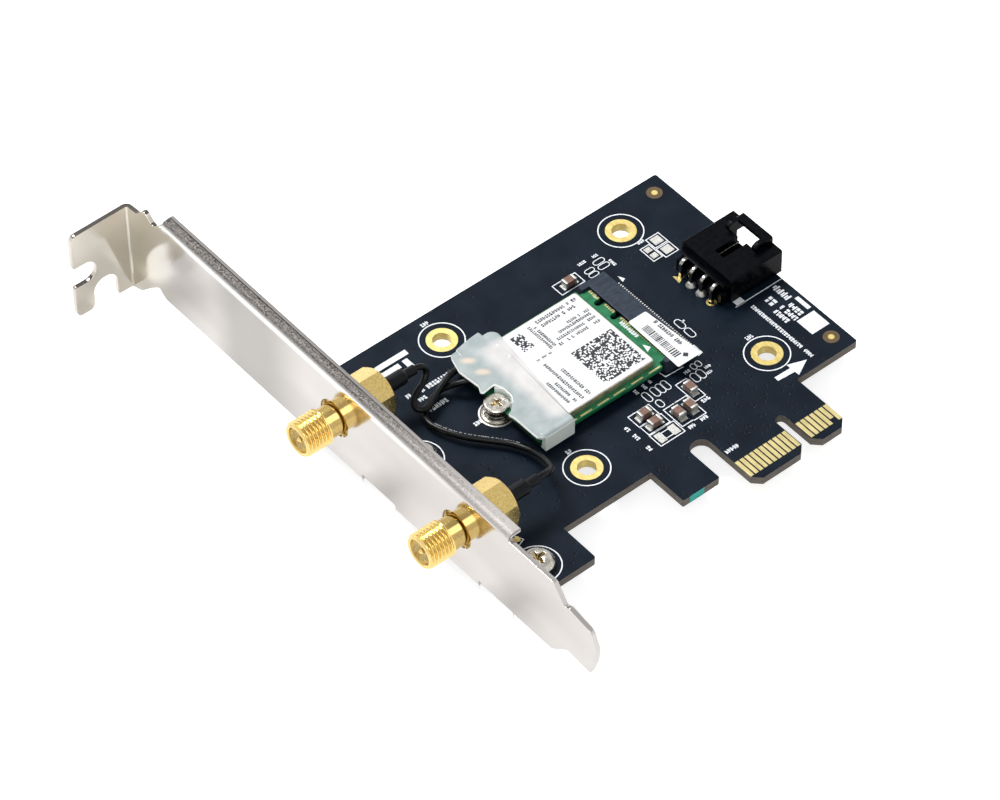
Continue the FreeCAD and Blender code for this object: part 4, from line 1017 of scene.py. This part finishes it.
def addCellField(bm, draw, x0, x1, y0, y1, count, low, high):
    longer = max(x1 - x0, y1 - y0)
    columns = round(count * (x1 - x0) / longer)
    rows = round(count * (y1 - y0) / longer)
    cellX = (x1 - x0) / columns
    cellY = (y1 - y0) / rows
    for row in range(rows):
        start = None
        for column in range(columns + 1):
            dark = column < columns and draw.random() < labelPrint["dark"]
            if dark and start is None:
                start = column
            if not dark and start is not None:
                addPlate(bm, x0 + start * cellX, x0 + column * cellX, y0 + row * cellY,
                         y0 + (row + 1) * cellY, low, high)
                start = None


# The module's label: two seeded cell fields and rows of bars in place of its print
def addLabelPrint():
    bm = bmesh.new()
    draw = random.Random(23)
    for field in labelPrint["fields"]:
        addCellField(bm, draw, *field, *labelPrint["span"])
    for row in labelPrint["rows"]:
        addBarRow(bm, draw, *row, *labelPrint["span"])
    addPiece("labelPrint", bm, "blackInk")


addLabelPrint()


stickerPrint = {  # mm
    "span": (2.78 - sink, 2.792),
    "bars": (-5.8, -4.35, 26.9, 35.5),
    "widths": (0.14, 0.2, 0.3),
    "gaps": (0.12, 0.16, 0.24),
    "row": (-3.35, 35.2, -90, 6.9, 0.78),
    "diamond": (-4, 26.3, 0.6),
}


# The socket's sticker: a seeded run of bars, a row beside it and a small diamond
def addStickerPrint():
    bm = bmesh.new()
    draw = random.Random(5)
    span = stickerPrint["span"]
    x0, x1, y, y1 = stickerPrint["bars"]
    while y < y1 - max(stickerPrint["widths"]):
        wide = draw.choice(stickerPrint["widths"])
        addPlate(bm, x0, x1, y, y + wide, *span)
        y += wide + draw.choice(stickerPrint["gaps"])
    addBarRow(bm, draw, *stickerPrint["row"], *span)
    x, y, half = stickerPrint["diamond"]
    addPrism(bm, ((x - half, y), (x, y - half), (x + half, y), (x, y + half)), *span)
    addPiece("stickerPrint", bm, "blackInk")


addStickerPrint()


modulePrint = {  # mm
    "printSpan": (2.1 - sink, 2.12),
    "stripSpan": (2.1 - sink, 2.13),
    "solderSpan": (2.1 - sink, 2.16),
    "rows": ((-7.3, 39.1, -90, 4.4, 0.7), (-6.6, 46.4, -90, 0.9, 0.9), (-6.3, 42.2, -90, 0.8, 0.8)),
    "triangle": ((-7.5, 32.95), (-7.9, 31.2), (-6.8, 31.7)),
    "strips": (-6.55, -4.2, 28.6, 47.6, 0.5, 0.32),  # box, pitch and width
    "keys": (44.745, 40.745),
    "keyClear": 0.85,  # no strip lies as close to a key as this
    "solder": ((27.45, (-9.7, -13.4, -17.2, -20.6, -24.2, -27.4)),
               (48.55, (-9.7, -13.4, -17.2, -20.6, -24.2))),
    "solderHalf": (1.2, 0.14),
}


# The module's own print, its contact strips and the solder that holds the shield
def addModulePrint():
    inks, pads = bmesh.new(), bmesh.new()
    draw = random.Random(3)
    for row in modulePrint["rows"]:
        addBarRow(inks, draw, *row, *modulePrint["printSpan"])
    addPrism(inks, modulePrint["triangle"], *modulePrint["printSpan"])
    x0, x1, y0, y1, pitch, width = modulePrint["strips"]
    for i in range(int((y1 - y0) / pitch) + 1):
        y = y0 + i * pitch
        if min(abs(y - key) for key in modulePrint["keys"]) > modulePrint["keyClear"]:
            addPlate(pads, x0, x1, y - width / 2, y + width / 2, *modulePrint["stripSpan"])
    half, side = modulePrint["solderHalf"]
    for y, places in modulePrint["solder"]:
        for x in places:
            addPlate(pads, x - half, x + half, y - side, y + side, *modulePrint["solderSpan"])
    addPiece("modulePrint", inks, "whiteInk")
    addPiece("modulePads", pads, "goldPlate")


addModulePrint()


headerLedge = {  # mm
    "box": (9.75, 10.92, 32.9, 43.4, 3.78, 4.05),
    "rounding": 0.06,
}


# The header's rear wall ends in a ledge over the pins; the ledge also serves as painted shade over
# the pins' tops
def addHeaderLedge():
    bm = bmesh.new()
    addPlate(bm, *headerLedge["box"])
    bmesh.ops.bevel(bm, geom=bm.edges[:], offset=headerLedge["rounding"] * mm, segments=2,
                    profile=0.5, affect="EDGES")
    addPiece("headerLedge", bm, "nylon")


clipWall = {
    "middle": (-34.1, 38.12),  # mm
    "radii": (2.34, 2.75),  # mm, inner and outer
    "turn": (-62, 58),  # degrees
    "steps": 24,
    "span": (2.12, 3.6),  # mm, into the clip's plate, so that the two join
}


# The clip stands on a short wall round the screw's head
def addClipWall():
    bm = bmesh.new()
    inner, outer = [arcCorners(*clipWall["middle"], radius, *clipWall["turn"], clipWall["steps"])
                    for radius in clipWall["radii"]]
    addPrism(bm, outer + inner[::-1], *clipWall["span"])
    addPiece("clipWall", bm, "milky")


tealMark = (-22, -19, 4.55, 4.6, -1.55, -0.02)  # mm, along x, y and z


# A dab of teal paint on the end of the board's hook
def addTealMark():
    bm = bmesh.new()
    addPlate(bm, *tealMark)
    addPiece("tealMark", bm, "tealPaint")


addHeaderLedge()
addClipWall()
addTealMark()
print("prints and pads laid")


# Plain light: a white sky that darkens overhead for what the flat faces mirror, and two soft lamps
light = {
    "sky": (1, 0.62),  # what polished faces mirror, low down and overhead
    "skyTurn": (0.5, 0.85),  # sine of the elevation where it changes
    "softSky": 0.38,  # what lights matt faces
    "lamps": (  # azimuth, elevation, distance m, size m, power W
        ("keyLamp", 188, 55, 0.9, 0.4, 9.3),
        ("fillLamp", -50, 48, 1, 0.7, 3)),
    "aim": (-20, 40, 0),
    "floor": "#c5c6c7",
    "floorGlow": (0.78, 0.45),  # for the camera and for what mirrors the floor
    "floorSize": 6,  # m
    "floorGap": 0.02,  # mm
}


def addWorld():
    world = bpy.data.worlds.new("studio")
    world.use_nodes = True
    scene.world = world
    tree = world.node_tree
    direction = addNode(tree, "TexCoord", output="Generated")
    step = dict(addNode(tree, "LightPath", output=None).items())
    step["height"] = addNode(tree, "SeparateXYZ", {0: direction}, "Z")
    addSteps(tree, step, (
        ("sky", "SMOOTHSTEP", "height", *light["skyTurn"], *light["sky"]),
        ("lit", "LINEAR", "Is Glossy Ray", 0, 1, light["softSky"], "sky"),
        ("seen", "MAXIMUM", "Is Camera Ray", "Is Transmission Ray"),
        ("strength", "LINEAR", "seen", 0, 1, "lit", 1)))
    setInputs(tree, tree.nodes["Background"], {"Color": "#ffffff", "Strength": step["strength"]})


def addLamps():
    aim = Vector(light["aim"]) * mm
    for name, azimuth, elevation, distance, size, power in light["lamps"]:
        data = bpy.data.lights.new(name, "AREA")
        data.shape = "DISK"
        data.size = size
        data.energy = power
        lamp = bpy.data.objects.new(name, data)
        a = math.radians(azimuth)
        e = math.radians(elevation)
        back = Vector((math.sin(a) * math.cos(e), -math.cos(a) * math.cos(e), math.sin(e)))
        lamp.location = aim + back * distance
        lamp.rotation_euler = back.to_track_quat("Z", "Y").to_euler()
        scene.collection.objects.link(lamp)


# Pale matt floor: it glows only for what looks at it, so it reads white and keeps the shadow
def addFloor():
    bm = bmesh.new()
    half = light["floorSize"] / 2
    low = cadBox[0].z - light["floorGap"] * mm
    bm.faces.new([bm.verts.new((x, y, low)) for x, y in
                  ((-half, -half), (half, -half), (half, half), (-half, half))])
    mesh = bpy.data.meshes.new("floor")
    bm.to_mesh(mesh)
    bm.free()
    floor = bpy.data.objects.new("floor", mesh)
    scene.collection.objects.link(floor)
    paper, tree, shader = startMaterial("floorPaperPale", {
        "Base Color": light["floor"], "Roughness": 0.9, "Specular IOR Level": 0,
        "Emission Color": "#ffffff"})
    step = addSteps(tree, dict(addNode(tree, "LightPath", output=None).items()), (
        ("looked", "MAXIMUM", "Is Camera Ray", "Is Transmission Ray"),
        ("mirrored", "MULTIPLY", "Is Glossy Ray", light["floorGlow"][1]),
        ("glow", "MULTIPLY_ADD", "looked", light["floorGlow"][0], "mirrored")))
    setInputs(tree, shader, {"Emission Strength": step["glow"]})
    mesh.materials.append(paper)


addWorld()
addLamps()
addFloor()
print("light and floor set")
